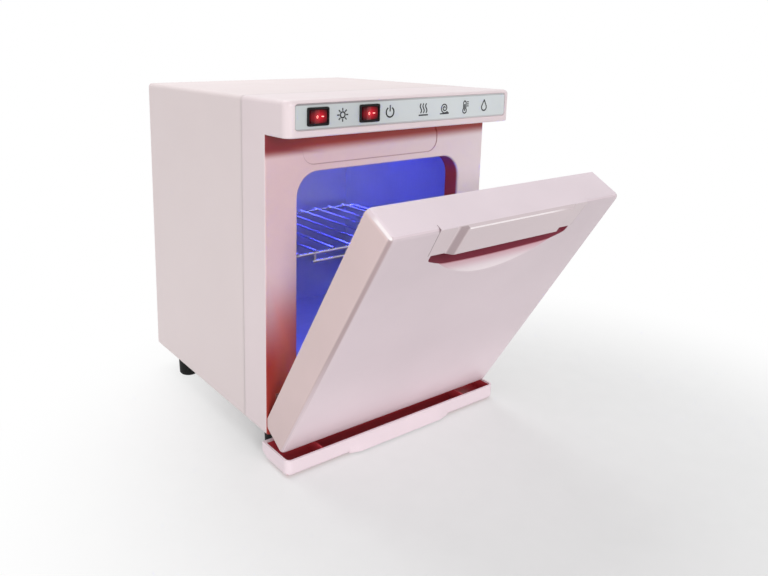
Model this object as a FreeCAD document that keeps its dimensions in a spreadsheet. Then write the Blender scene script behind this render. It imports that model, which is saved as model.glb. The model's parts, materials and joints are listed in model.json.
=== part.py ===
import FreeCAD, Part
import math
import os
import re
import Sketcher

V = FreeCAD.Vector
DOC = FreeCAD.newDocument("towel_warmer")

# Driving dimensions in millimetres, angles in degrees: name, value, what it sets.
DIMENSIONS = [
    ("case_width", 260, "cabinet width"),
    ("case_depth", 240, "front frame plane to the back of the wrap"),
    ("case_height", 300, "cabinet height without the feet"),
    ("foot_height", 25, "height of the feet"),
    ("origin_setback", 42.45, "frame origin behind the front frame plane"),
    ("case_corner", 4, "outer corner radius of the cabinet section"),
    ("sheet", 1, "sheet metal of wrap and rear panel"),
    ("return_width", 34, "inward returns under the wrap"),
    ("rear_flange", 12, "rear flange of the wrap"),
    ("seam", 0.5, "visible seam between wrap and front moulding"),
    ("base_sheet", 1.2, "base plate thickness"),
    ("bezel_depth", 38, "depth of the front moulding"),
    ("bezel_wall", 3, "wall of the front moulding"),
    ("edge_round", 1.5, "small edge rounds of the mouldings"),
    ("hood_reach", 33, "hood overhang in front of the frame"),
    ("hood_height", 30, "height of the hood"),
    ("hood_wall", 2.5, "wall of the hood"),
    ("hood_corner", 8, "plan radius of the hood corners"),
    ("tongue_length", 8, "tongue of the moulding inside the wrap"),
    ("tongue_play", 0.2, "play round the tongue"),
    ("lip_depth", 15, "return of the opening behind the frame"),
    ("lip_wall", 2.5, "wall of that return"),
    ("stile_width", 32.5, "frame beside the opening"),
    ("top_rail", 65, "frame and hood above the opening"),
    ("opening_base", 40, "opening above the cabinet underside"),
    ("opening_corner", 22, "opening corner radius"),
    ("tab_inset_left", 38, "tab recess from the left edge"),
    ("tab_inset_right", 64, "tab recess from the right edge"),
    ("tab_drop", 29, "tab recess below the hood"),
    ("tab_corner", 12, "tab recess corner radius"),
    ("tab_depth", 0.8, "tab recess depth"),
    ("plate_inset", 8.5, "control plate from the hood ends"),
    ("plate_margin", 3, "control plate below the hood top"),
    ("plate_thick", 0.8, "control plate thickness"),
    ("plate_play", 0.5, "gap round the control plate"),
    ("plate_recess", 1.2, "control plate recess in the hood"),
    ("plate_base", 6, "control plate above the hood underside"),
    ("plate_corner", 3, "control plate corner radius"),
    ("switch_inset", 30, "lamp switch from the left edge"),
    ("switch_spacing", 53, "distance between the switches"),
    ("switch_rim", 1, "switch flange round the body"),
    ("switch_corner", 1.5, "switch flange corner radius"),
    ("switch_flange", 1.6, "switch flange thickness"),
    ("switch_body_width", 19, "switch body width"),
    ("switch_body_height", 13, "switch body height"),
    ("switch_body_depth", 20, "switch body depth"),
    ("switch_play", 0.2, "play of the switch body in its cut-out"),
    ("terminal_pitch", 5.5, "switch terminal spacing"),
    ("terminal_thick", 0.8, "switch terminal thickness"),
    ("terminal_width", 4.8, "switch terminal width"),
    ("terminal_length", 8, "switch terminal length"),
    ("well_end", 0.4, "switch wall at the rocker ends"),
    ("well_side", 0.8, "switch wall beside the rocker"),
    ("rocker_front", 5, "rocker ends in front of the pivot"),
    ("rocker_valley", 3.6, "rocker middle in front of the pivot"),
    ("rocker_back", 3, "rocker body behind the pivot"),
    ("rocker_tilt", 10, "rocker tilt when on"),
    ("rocker_pivot_depth", 3.5, "pivot behind the flange face"),
    ("rocker_gap", 0.4, "gap round the rocker"),
    ("rocker_pin", 1.2, "rocker pivot radius"),
    ("pin_play", 0.05, "radial running play of pivots"),
    ("liner_step", 4, "chamber liner outside the opening"),
    ("rear_space", 50, "room behind the chamber"),
    ("liner_sheet", 1, "chamber liner sheet"),
    ("liner_corner", 12, "chamber liner corner radius"),
    ("liner_flange", 10, "chamber liner flange"),
    ("shelf_rise", 110, "shelf rail top above the opening base"),
    ("rail_leg", 9, "shelf rail horizontal leg"),
    ("rail_drop", 12, "shelf rail vertical leg"),
    ("rail_gap", 4, "shelf rail behind the opening return"),
    ("rail_end_gap", 18, "shelf rail in front of the chamber back"),
    ("wire", 1.5, "shelf frame wire radius"),
    ("rod", 1.2, "shelf cross wire radius"),
    ("weld", 0.4, "depth that welded wires sink into each other"),
    ("shelf_gap", 5.5, "shelf wire centre from the liner side"),
    ("shelf_setback", 4, "shelf front wire behind the rail front"),
    ("shelf_end_gap", 22, "shelf back wire in front of the chamber back"),
    ("shelf_corner", 8, "shelf frame corner radius"),
    ("shelf_wires", 9, "number of cross wires"),
    ("shelf_drop", 8, "drop of the lower front wire"),
    ("shelf_drop_inset", 36, "lower front wire from the shelf sides"),
    ("lamp_back", 60, "lamp axis in front of the chamber back"),
    ("lamp_rise", 14, "lamp axis above the chamber ceiling"),
    ("lamp_slot_inset", 19.5, "lamp slot from the liner sides"),
    ("lamp_slot_depth", 40, "lamp slot in the ceiling, depth"),
    ("reflector_height", 30, "reflector box height"),
    ("reflector_room", 2, "reflector box outside the lamp slot"),
    ("reflector_flange", 8, "reflector flange"),
    ("reflector_sheet", 0.8, "reflector and guard sheet"),
    ("lamp_end_room", 4, "lamp slot beyond the holders"),
    ("tube_radius", 8, "glass tube radius"),
    ("cap_length", 8, "tube cap length"),
    ("cap_pin", 1.1, "tube cap pin radius"),
    ("cap_pin_length", 7, "tube cap pin length"),
    ("cap_pin_half", 3, "tube cap pin from the axis"),
    ("tube_wall", 1, "glass wall"),
    ("holder_width", 10, "lamp holder width"),
    ("holder_side", 2, "lamp holder beside the tube"),
    ("holder_play", 0.2, "lamp holder play"),
    ("guard_slots", 12, "number of lamp guard slots"),
    ("guard_margin", 8, "lamp slot width left outside the guard slots"),
    ("guard_slot", 9, "width of a lamp guard slot"),
    ("guard_border", 5, "guard outside the lamp slot"),
    ("heater_side", 16.5, "heater mat from the liner sides"),
    ("heater_end", 26, "heater mat from the liner ends"),
    ("heater_thick", 2, "heater mat thickness"),
    ("disc_radius", 8, "thermostat cap radius"),
    ("disc_cap", 4, "thermostat cap height"),
    ("disc_body", 6, "thermostat body height"),
    ("disc_ears", 12, "thermostat ear reach"),
    ("disc_tab", 8, "thermostat terminal length"),
    ("link_radius", 2, "thermal cut-out radius"),
    ("link_length", 11, "thermal cut-out length"),
    ("link_lead", 12, "thermal cut-out lead length"),
    ("link_offset", 40, "thermal cut-out from the middle"),
    ("vent_slots", 6, "rear vent slots in each column"),
    ("vent_pitch", 9, "pitch of the rear vent slots"),
    ("vent_width", 60, "rear vent slot width"),
    ("vent_height", 4, "rear vent slot height"),
    ("vent_drop", 55, "top vent slot below the cabinet top"),
    ("rear_margin", 2.5, "rear panel inside the wrap"),
    ("rear_corner", 3, "rear panel corner radius"),
    ("inlet_inset", 50, "mains inlet from the right edge"),
    ("inlet_z", 42, "mains inlet height"),
    ("ballast_inset", 50, "ballast from the left edge"),
    ("ballast_base", 130, "ballast above the underside"),
    ("ballast_width", 60, "ballast width"),
    ("ballast_height", 40, "ballast height"),
    ("ballast_depth", 26, "ballast depth"),
    ("ballast_screw", 5, "ballast screws from its ends"),
    ("strip_offset", 20, "terminal block from the middle"),
    ("strip_setback", 32, "terminal block from the back"),
    ("strip_pitch", 12, "terminal block way width"),
    ("strip_ways", 4, "terminal block ways"),
    ("strip_depth", 18, "terminal block depth"),
    ("strip_height", 14, "terminal block height"),
    ("inlet_width", 27, "mains inlet body width"),
    ("inlet_height", 20, "mains inlet body height"),
    ("inlet_depth", 20, "mains inlet body depth"),
    ("inlet_ear", 11.5, "inlet flange beyond the body"),
    ("inlet_rim", 1.5, "inlet flange above the body"),
    ("inlet_flange", 2.4, "inlet flange thickness"),
    ("inlet_wall", 1.3, "wall of the inlet well"),
    ("inlet_bevel", 5, "bevel of the inlet well"),
    ("inlet_screw", 6.5, "inlet screws beyond the body"),
    ("blade_spread", 7, "inlet blade spacing"),
    ("blade_half", 2, "half height of an inlet blade"),
    ("screw_radius", 1.5, "small screw shank radius"),
    ("screw_head", 3, "small screw head radius"),
    ("screw_rise", 2, "small screw head height"),
    ("screw_bite", 7, "small screw shank behind its sheet"),
    ("screw_line", 7, "rear screws from the cabinet edge"),
    ("screw_end", 20, "rear screws from the corners"),
    ("screw_play", 0.1, "small screw radial play"),
    ("foot_top", 11.5, "foot radius at the top"),
    ("foot_bottom", 10.4, "foot radius at the bottom"),
    ("foot_seat", 8, "screw seat inside the foot, below its top"),
    ("foot_bolt", 2, "foot screw radius"),
    ("front_foot_inset", 25, "front foot from the side"),
    ("front_foot_y", 24, "front foot behind the frame plane"),
    ("rear_foot_inset", 20, "rear foot from the side"),
    ("rear_foot_setback", 38, "rear foot in front of the back"),
    ("nut_height", 3.2, "foot nut height"),
    ("door_inset", 1, "door side inside the cabinet side"),
    ("hood_gap", 3.5, "closed door below the hood"),
    ("door_thick", 31, "door thickness"),
    ("door_corner", 5, "door outline radius"),
    ("door_edge", 4, "round of the door front edges"),
    ("door_skin", 2.5, "door front skin"),
    ("door_wall", 4, "door side walls"),
    ("door_sill", 31, "solid sill at the door bottom"),
    ("door_open", 31, "door angle at its stop, as in the photo"),
    ("door_base", 1.5, "closed door above the cabinet underside"),
    ("closed_gap", 3.5, "closed door in front of the frame"),
    ("pivot_rise", 19, "hinge axis above the door bottom"),
    ("pivot_inset", 6, "hinge axis in front of the door back"),
    ("stop_gap", 0.3, "gap at the door stop"),
    ("panel_thick", 2.5, "door inner panel"),
    ("panel_play", 0.2, "play round inset pieces"),
    ("panel_ledge", 2, "ledge under the inner panel"),
    ("pan_side", 5.5, "raised middle inside the opening sides"),
    ("pan_end", 6, "raised middle inside the opening ends"),
    ("pan_rise", 5, "raised middle of the inner panel, rise"),
    ("pan_corner", 18, "raised middle, corner radius"),
    ("pan_round", 3, "edge round of the raised middle"),
    ("gasket_width", 7, "gasket width"),
    ("gasket_gap", 0.3, "gasket short of the frame when closed"),
    ("gasket_inset", 7.5, "gasket outside the raised middle"),
    ("post_inset", 17, "inner panel screws from the door side"),
    ("post_radius", 4, "inner panel screw posts"),
    ("handle_inset", 45, "handle strip from the door side"),
    ("handle_slant", 2, "slant of the handle strip ends"),
    ("handle_drop", 27, "handle strip height"),
    ("handle_base", 5, "handle strip thickness in the door"),
    ("handle_proud", 4, "grip in front of the door"),
    ("grip_inset", 18, "grip foot inside the strip end"),
    ("grip_slope", 8, "sloped ends of the grip"),
    ("scoop_reach", 60, "finger scoop below the door top"),
    ("scoop_rise", 48.7, "scoop centre above the door top"),
    ("scoop_depth", 15, "finger scoop depth behind the handle"),
    ("scoop_edge", 20, "radius of the soft scoop rim"),
    ("finger_depth", 19, "finger pocket depth"),
    ("finger_drop", 49, "finger pocket floor below the door top"),
    ("finger_sag", 16, "rise of the pocket floor at its ends"),
    ("finger_inset", 5, "finger pocket inside the strip ends"),
    ("finger_round", 4, "round of the finger pocket ends"),
    ("ear_inset", 15, "hinge ear from the side"),
    ("ear_width", 6, "hinge ear width"),
    ("ear_radius", 5, "hinge ear radius"),
    ("bracket_width", 10, "hinge bracket width"),
    ("bracket_drop", 12.5, "hinge bracket below its axis"),
    ("bracket_rise", 17.5, "hinge bracket above its axis"),
    ("bracket_edge", 3.8, "hinge screws from the bracket ends"),
    ("bracket_thick", 2, "hinge bracket base thickness"),
    ("hinge_pin", 2, "hinge pin radius"),
    ("hinge_pin_length", 21, "hinge pin length"),
    ("notch_play", 1.5, "room round the hinge ear in the door"),
    ("strike_width", 40, "strike plate and magnet width"),
    ("strike_height", 10, "strike plate and magnet height"),
    ("strike_thick", 1.5, "strike plate thickness"),
    ("magnet_depth", 8, "catch magnet depth"),
    ("magnet_drop", 14, "magnet below the hood"),
    ("tray_front", 34, "tray front in front of the frame plane"),
    ("tray_back", 7, "tray back behind the frame plane"),
    ("tray_gap", 8.5, "tray rim below the cabinet"),
    ("tray_clear", 2, "tray above the ground"),
    ("tray_wall", 2, "tray wall"),
    ("tray_corner", 6, "tray front corner radius"),
    ("tray_round", 3, "round of the tray foot edge"),
    ("tray_rise", 6, "rise of the tray underside at the back"),
    ("tray_run", 12, "run of that rise"),
    ("rib_inset", 41, "tray rib from the side"),
    ("rib_drop", 2, "tray ribs below the rim"),
    ("lip_inset", 68, "tray pull lip from the side"),
    ("lip_reach", 3, "tray pull lip reach"),
    ("lip_blend", 0.2, "tray pull lip reach at its top"),
    ("lip_slope", 12, "sloped ends of the pull lip"),
    ("tongue_inset", 70, "tray tongue from the side"),
    ("tongue_width", 20, "tray tongue width"),
    ("tongue_room", 0.7, "play above the tray tongue"),
    ("tongue_short", 5, "tray tongue short of the guide end"),
    ("guide_wall", 1.5, "tray guide sheet"),
    ("guide_play", 0.3, "tray tongue play over the guide lips"),
    ("guide_height", 7.5, "tray guide height"),
    ("guide_drop", 6, "tray guide below the cabinet"),
    ("guide_front", 12, "tray guide start"),
    ("guide_setback", 110, "tray guide end in front of the back"),
]
ALIASES = {name for name, value, note in DIMENSIONS}

# Sizes and positions that follow from the driving dimensions.
# Cabinet z is 0 at the cabinet underside and y is 0 at the frame plane.
# Door positions are about the hinge axis of the closed door.
DERIVED = {
    "half_width": "case_width / 2",
    "hood_base": "case_height - hood_height",
    "opening_width": "case_width - 2 * stile_width",
    "opening_height": "case_height - top_rail - opening_base",
    "opening_top": "case_height - top_rail",
    "tab_left": "half_width - tab_inset_left",
    "tab_right": "half_width - tab_inset_right",
    "plate_width": "case_width - 2 * plate_inset",
    "plate_height": "hood_height - plate_base - plate_margin",
    "plate_face": "plate_recess - hood_reach - plate_thick",
    "uv_switch_x": "switch_inset - half_width",
    "power_switch_x": "uv_switch_x + switch_spacing",
    "switch_width": "switch_body_width + 2 * switch_rim",
    "switch_height": "switch_body_height + 2 * switch_rim",
    "switch_face": "plate_face - switch_flange",
    "switch_z": "hood_base + plate_base + plate_height / 2",
    "rocker_reach": "switch_body_width / 2 - well_end - rocker_gap",
    "rocker_height": "switch_body_height - 2 * (well_side + rocker_gap)",
    "base_top": "sheet + base_sheet",
    "liner_width": "opening_width + 2 * liner_step",
    "liner_height": "opening_height + 2 * liner_step",
    "liner_back": "case_depth - rear_space",
    "liner_depth": "liner_back - bezel_wall",
    "liner_half": "liner_width / 2",
    "liner_base": "opening_base - liner_step",
    "liner_top": "liner_base + liner_height",
    "liner_roof": "liner_top + liner_sheet",
    "liner_under": "liner_base - liner_sheet",
    "shelf_level": "opening_base + shelf_rise",
    "rail_front": "bezel_wall + lip_depth + rail_gap",
    "rail_length": "liner_back - rail_end_gap - rail_front",
    "shelf_width": "liner_width - 2 * shelf_gap",
    "shelf_front": "rail_front + shelf_setback",
    "shelf_depth": "liner_back - shelf_end_gap - shelf_front",
    "shelf_pitch": "shelf_width / (shelf_wires + 0.6)",
    "shelf_drop_width": "shelf_width - 2 * shelf_drop_inset",
    "lamp_y": "liner_back - lamp_back",
    "lamp_z": "liner_top + lamp_rise",
    "lamp_slot_width": "liner_width - 2 * lamp_slot_inset",
    "tube_length": "lamp_slot_width - 2 * (lamp_end_room + holder_width + cap_length)",
    "guard_pitch": "(lamp_slot_width - guard_margin) / guard_slots",
    "heater_width": "liner_width - 2 * heater_side",
    "heater_depth": "liner_depth - 2 * heater_end",
    "heater_y": "bezel_wall + liner_depth / 2",
    "heater_base": "liner_under - heater_thick",
    "rear_face": "case_depth + sheet",
    "inlet_x": "half_width - inlet_inset",
    "ballast_x": "ballast_inset - half_width",
    "front_foot_x": "half_width - front_foot_inset",
    "rear_foot_x": "half_width - rear_foot_inset",
    "rear_foot_y": "case_depth - rear_foot_setback",
    "pivot_y": "-closed_gap - pivot_inset",
    "pivot_z": "door_base + pivot_rise",
    "ear_x": "half_width - ear_inset",
    "door_width": "case_width - 2 * door_inset",
    "door_height": "hood_base - hood_gap - door_base",
    "door_half": "door_width / 2",
    "door_bottom": "-pivot_rise",
    "door_top": "door_height - pivot_rise",
    "door_back": "pivot_inset",
    "door_front": "pivot_inset - door_thick",
    "pan_width": "opening_width - 2 * pan_side",
    "pan_height": "opening_height - 2 * pan_end",
    "pan_base": "opening_base + pan_end - pivot_z",
    "gasket_thick": "closed_gap - gasket_gap",
    "post_x": "door_half - post_inset",
    "handle_length": "door_width - 2 * handle_inset",
    "grip_length": "handle_length - 2 * grip_inset",
    "magnet_z": "hood_base - magnet_drop",
    "tray_width": "case_width",
    "tray_rim": "-tray_gap",
    "tray_floor": "tray_clear - foot_height",
    "rib_x": "half_width - rib_inset",
    "lip_width": "tray_width - 2 * lip_inset",
    "tongue_x": "half_width - tongue_inset",
    "tongue_base": "guide_wall + guide_play - guide_height - guide_drop",
    "tongue_thick": "guide_height - 2 * guide_wall - guide_play - tongue_room",
    "guide_end": "case_depth - guide_setback",
    "tongue_end": "guide_end - tongue_short",
}

SHEET = DOC.addObject("Spreadsheet::Sheet", "sizes")
for row, (name, value, note) in enumerate(DIMENSIONS, start=1):
    SHEET.set(f"A{row}", note)
    SHEET.set(f"B{row}", str(value))
    SHEET.setAlias(f"B{row}", name)
DOC.recompute()

PARTS = []
PLANES = {"XY": ("XY_Plane", 1, "+Z"), "XZ": ("XZ_Plane", -1, "-Y"), "YZ": ("YZ_Plane", 1, "+X")}
SKETCH_NORMAL = {}


def formula(text):
    """Expression text with size names pointing at the spreadsheet and derived names written out."""
    def full(match):
        name = match.group()
        if name in DERIVED:
            return f"({formula(DERIVED[name])})"
        return f"sizes.{name}" if name in ALIASES else name
    return re.sub(r"[a-z]\w*", full, str(text))


def number(text):
    """Present value of a formula."""
    return float(SHEET.evalExpression(formula(text)))


REAR_SCREWS = [(x, z) for x in ("screw_line - half_width", "half_width - screw_line")
               for z in ("screw_end", "case_height / 2", "case_height - screw_end")]
REAR_SCREWS += [("0", "screw_line"), ("0", "case_height - screw_line")]
LINER_SCREWS = [(f"{side} * (liner_half + liner_flange * 0.6)", z) for side in ("-1", "1")
                for z in ("opening_base + opening_height * 0.18", "opening_base + opening_height * 0.82")]
INLET_SCREWS = [(f"inlet_x + {side} * (inlet_width / 2 + inlet_screw)", "inlet_z") for side in ("-1", "1")]
BALLAST_SCREWS = [(x, "ballast_base + ballast_height / 2")
                  for x in ("ballast_x + ballast_screw", "ballast_x + ballast_width - ballast_screw")]
SWITCHES = (("uv", "uv_switch_x"), ("power", "power_switch_x"))
FEET = [
    ("foot_front_left", "-front_foot_x", "front_foot_y", "bezel_wall"),
    ("foot_front_right", "front_foot_x", "front_foot_y", "bezel_wall"),
    ("foot_rear_left", "-rear_foot_x", "rear_foot_y", "base_top"),
    ("foot_rear_right", "rear_foot_x", "rear_foot_y", "base_top"),
]
SIDES = (("left", "-1"), ("right", "1"))
DOOR_POSTS = [(x, z) for x in ("-post_x", "post_x") for z in ("door_height * 0.2", "door_height * 0.72")]


def bind(item, path, text):
    item.setExpression(path, formula(text))


def part(item, label):
    """Register a finished sub-part under its label."""
    item.Label = label
    PARTS.append(item)
    return item


def in_cabinet(item):
    """Place a piece that was drawn in cabinet coordinates."""
    bind(item, "Placement.Base.y", "-origin_setback")
    bind(item, "Placement.Base.z", "foot_height")
    return item


def in_door(item):
    """Place a piece that was drawn about the hinge axis of the closed door."""
    item.Placement = FreeCAD.Placement(V(0, 0, 0), FreeCAD.Rotation(V(1, 0, 0), 1))
    bind(item, "Placement.Base.y", "pivot_y - origin_setback")
    bind(item, "Placement.Base.z", "pivot_z + foot_height")
    bind(item, "Placement.Rotation.Angle", "door_open")
    return item


def body(name):
    return DOC.addObject("PartDesign::Body", name)


def sketch_on(owner, plane, at="0"):
    """Empty sketch on an origin plane, moved along that axis to a coordinate."""
    role, sign, normal = PLANES[plane]
    support = [f for f in owner.Origin.OriginFeatures if f.Role == role][0]
    sketch = owner.newObject("Sketcher::SketchObject", owner.Name + "_sketch")
    sketch.AttachmentSupport = [(support, "")]
    sketch.MapMode = "FlatFace"
    bind(sketch, "AttachmentOffset.Base.z", f"{sign} * ({at})")
    SKETCH_NORMAL[sketch.Name] = normal
    return sketch


def fix(sketch, kind, geometry, point, text):
    """Dimension bound to a formula; point None is for a radius."""
    picks = (geometry,) if point is None else (geometry, point)
    index = sketch.addConstraint(Sketcher.Constraint(kind, *picks, number(text)))
    bind(sketch, f"Constraints[{index}]", text)


def polygon(sketch, corners):
    """Closed outline through corners given as pairs of formulas."""
    first = sketch.GeometryCount
    points = [V(number(x), number(y), 0) for x, y in corners]
    count = len(points)
    for i in range(count):
        sketch.addGeometry(Part.LineSegment(points[i], points[(i + 1) % count]), False)
    for i in range(count):
        sketch.addConstraint(Sketcher.Constraint("Coincident", first + i, 2, first + (i + 1) % count, 1))
    for i, (x, y) in enumerate(corners):
        fix(sketch, "DistanceX", first + i, 1, x)
        fix(sketch, "DistanceY", first + i, 1, y)
    return sketch


def span(half):
    """Pair of formulas either side of the middle plane."""
    return f"-({half})", half


def across(centre, width):
    """Pair of formulas either side of a centre."""
    return f"{centre} - ({width}) / 2", f"{centre} + ({width}) / 2"


def rectangle(sketch, x0, x1, y0, y1):
    return polygon(sketch, [(x0, y0), (x1, y0), (x1, y1), (x0, y1)])


def rounded(sketch, x0, x1, y0, y1, radius):
    """Rectangle with four equal corner arcs."""
    first = sketch.GeometryCount
    a, b, c, d, r = (number(t) for t in (x0, x1, y0, y1, radius))
    lines = [((a + r, c), (b - r, c)), ((b, c + r), (b, d - r)),
             ((b - r, d), (a + r, d)), ((a, d - r), (a, c + r))]
    centres = [(b - r, c + r), (b - r, d - r), (a + r, d - r), (a + r, c + r)]
    for start, end in lines:
        sketch.addGeometry(Part.LineSegment(V(*start, 0), V(*end, 0)), False)
    for i, centre in enumerate(centres):
        circle = Part.Circle(V(*centre, 0), V(0, 0, 1), r)
        sketch.addGeometry(Part.ArcOfCircle(circle, (i - 1) * math.pi / 2, i * math.pi / 2), False)
    for i in range(4):
        arc = first + 4 + i
        sketch.addConstraint(Sketcher.Constraint("Tangent", first + i, 2, arc, 1))
        sketch.addConstraint(Sketcher.Constraint("Tangent", arc, 2, first + (i + 1) % 4, 1))
        sketch.addConstraint(Sketcher.Constraint("Horizontal" if i % 2 == 0 else "Vertical", first + i))
    for i in range(3):
        sketch.addConstraint(Sketcher.Constraint("Equal", first + 4, first + 5 + i))
    fix(sketch, "Radius", first + 4, None, radius)
    fix(sketch, "DistanceY", first, 1, y0)
    fix(sketch, "DistanceX", first + 1, 1, x1)
    fix(sketch, "DistanceY", first + 2, 1, y1)
    fix(sketch, "DistanceX", first + 3, 1, x0)
    return sketch


def circles(sketch, centres, radius):
    for x, y in centres:
        circle = Part.Circle(V(number(x), number(y), 0), V(0, 0, 1), number(radius))
        geometry = sketch.addGeometry(circle, False)
        fix(sketch, "DistanceX", geometry, 3, x)
        fix(sketch, "DistanceY", geometry, 3, y)
        fix(sketch, "Radius", geometry, None, radius)
    return sketch


def arc(sketch, start, bend, end):
    """Arc through three points of formulas; returns it with the indices of its ends."""
    a, b, c = (V(number(x), number(y), 0) for x, y in (start, bend, end))
    geometry = sketch.addGeometry(Part.Arc(a, b, c), False)
    forward = sketch.getPoint(geometry, 1).distanceToPoint(a) < 1e-6
    return (geometry, 1, 2) if forward else (geometry, 2, 1)


def volume(owner):
    return owner.Tip.Shape.Volume if owner.Tip else 0.0


def pad(owner, sketch, length, toward):
    """Extrude a sketch along a signed axis and check that it added material."""
    before = volume(owner)
    feature = owner.newObject("PartDesign::Pad", owner.Name + "_pad")
    feature.Profile = sketch
    feature.Reversed = toward != SKETCH_NORMAL[sketch.Name]
    bind(feature, "Length", length)
    owner.Tip = feature
    DOC.recompute()
    if volume(owner) <= before + 1e-3:
        raise ValueError(f"{feature.Name} added nothing")
    return feature


def pocket(owner, sketch, length, toward):
    """Cut a sketch along a signed axis and check that it removed material."""
    before = volume(owner)
    feature = owner.newObject("PartDesign::Pocket", owner.Name + "_pocket")
    feature.Profile = sketch
    feature.Reversed = toward == SKETCH_NORMAL[sketch.Name]
    bind(feature, "Length", length)
    owner.Tip = feature
    DOC.recompute()
    if volume(owner) >= before - 1e-3:
        raise ValueError(f"{feature.Name} removed nothing")
    return feature


def repeat(owner, feature, sketch, axis, pitch, count):
    """Linear pattern of a feature along a sketch axis."""
    pattern = owner.newObject("PartDesign::LinearPattern", owner.Name + "_pattern")
    pattern.Originals = [feature]
    pattern.Direction = (sketch, [axis])
    bind(pattern, "Length", f"({pitch}) * ({count} - 1)")
    bind(pattern, "Occurrences", count)
    owner.Tip = pattern
    DOC.recompute()
    return pattern


def edges_in(shape, *boxes):
    """Names of the edges that lie wholly inside one of the boxes of formulas."""
    names = []
    for box in boxes:
        low = [number(pair[0]) - 0.02 for pair in box]
        high = [number(pair[1]) + 0.02 for pair in box]
        for i, edge in enumerate(shape.Edges, start=1):
            b = edge.BoundBox
            spans = ((b.XMin, b.XMax), (b.YMin, b.YMax), (b.ZMin, b.ZMax))
            inside = all(low[k] <= spans[k][0] and spans[k][1] <= high[k] for k in range(3))
            if inside and f"Edge{i}" not in names:
                names.append(f"Edge{i}")
    return names


def fillet(owner, radius, *boxes):
    """Round the edges that lie inside the boxes."""
    base = owner.Tip
    names = edges_in(base.Shape, *boxes)
    feature = owner.newObject("PartDesign::Fillet", owner.Name + "_fillet")
    feature.Base = (base, names)
    bind(feature, "Radius", radius)
    owner.Tip = feature
    DOC.recompute()
    return feature


def block(name, xs, ys, zs):
    """Part box between pairs of formulas."""
    item = DOC.addObject("Part::Box", name)
    for side, axis, (low, high) in zip(("Length", "Width", "Height"), "xyz", (xs, ys, zs)):
        bind(item, side, f"({high}) - ({low})")
        bind(item, f"Placement.Base.{axis}", low)
    return item


TURNS = {"X": (V(0, 1, 0), 90), "Y": (V(1, 0, 0), -90), "Z": (V(0, 0, 1), 0)}


def aim(item, base, axis):
    """Point a primitive along an axis from a base given as three formulas."""
    item.Placement = FreeCAD.Placement(V(0, 0, 0), FreeCAD.Rotation(*TURNS[axis]))
    for letter, text in zip("xyz", base):
        bind(item, f"Placement.Base.{letter}", text)
    return item


def cylinder(name, radius, height, base, axis):
    item = DOC.addObject("Part::Cylinder", name)
    bind(item, "Radius", radius)
    bind(item, "Height", height)
    return aim(item, base, axis)


def cone(name, low, high, height, base, axis):
    item = DOC.addObject("Part::Cone", name)
    bind(item, "Radius1", low)
    bind(item, "Radius2", high)
    bind(item, "Height", height)
    return aim(item, base, axis)


def fuse(name, items):
    result = DOC.addObject("Part::MultiFuse", name)
    result.Shapes = items
    return result


def cut(name, base, tool):
    result = DOC.addObject("Part::Cut", name)
    result.Base = base
    result.Tool = tool
    return result


def common(name, items):
    result = DOC.addObject("Part::MultiCommon", name)
    result.Shapes = items
    return result


def group(name, items):
    """Separate solids kept in one node."""
    result = DOC.addObject("Part::Compound", name)
    result.Links = items
    return result


def screw_in(name, spot, face, grip, head="screw_head", shank="screw_radius", rise="screw_rise"):
    """Pan-head screw driven toward -Y from a rear face."""
    x, z = spot
    return fuse(name, [
        cylinder(name + "_head", head, rise, (x, face, z), "Y"),
        cylinder(name + "_shank", shank, grip, (x, f"{face} - ({grip})", z), "Y"),
    ])


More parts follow.
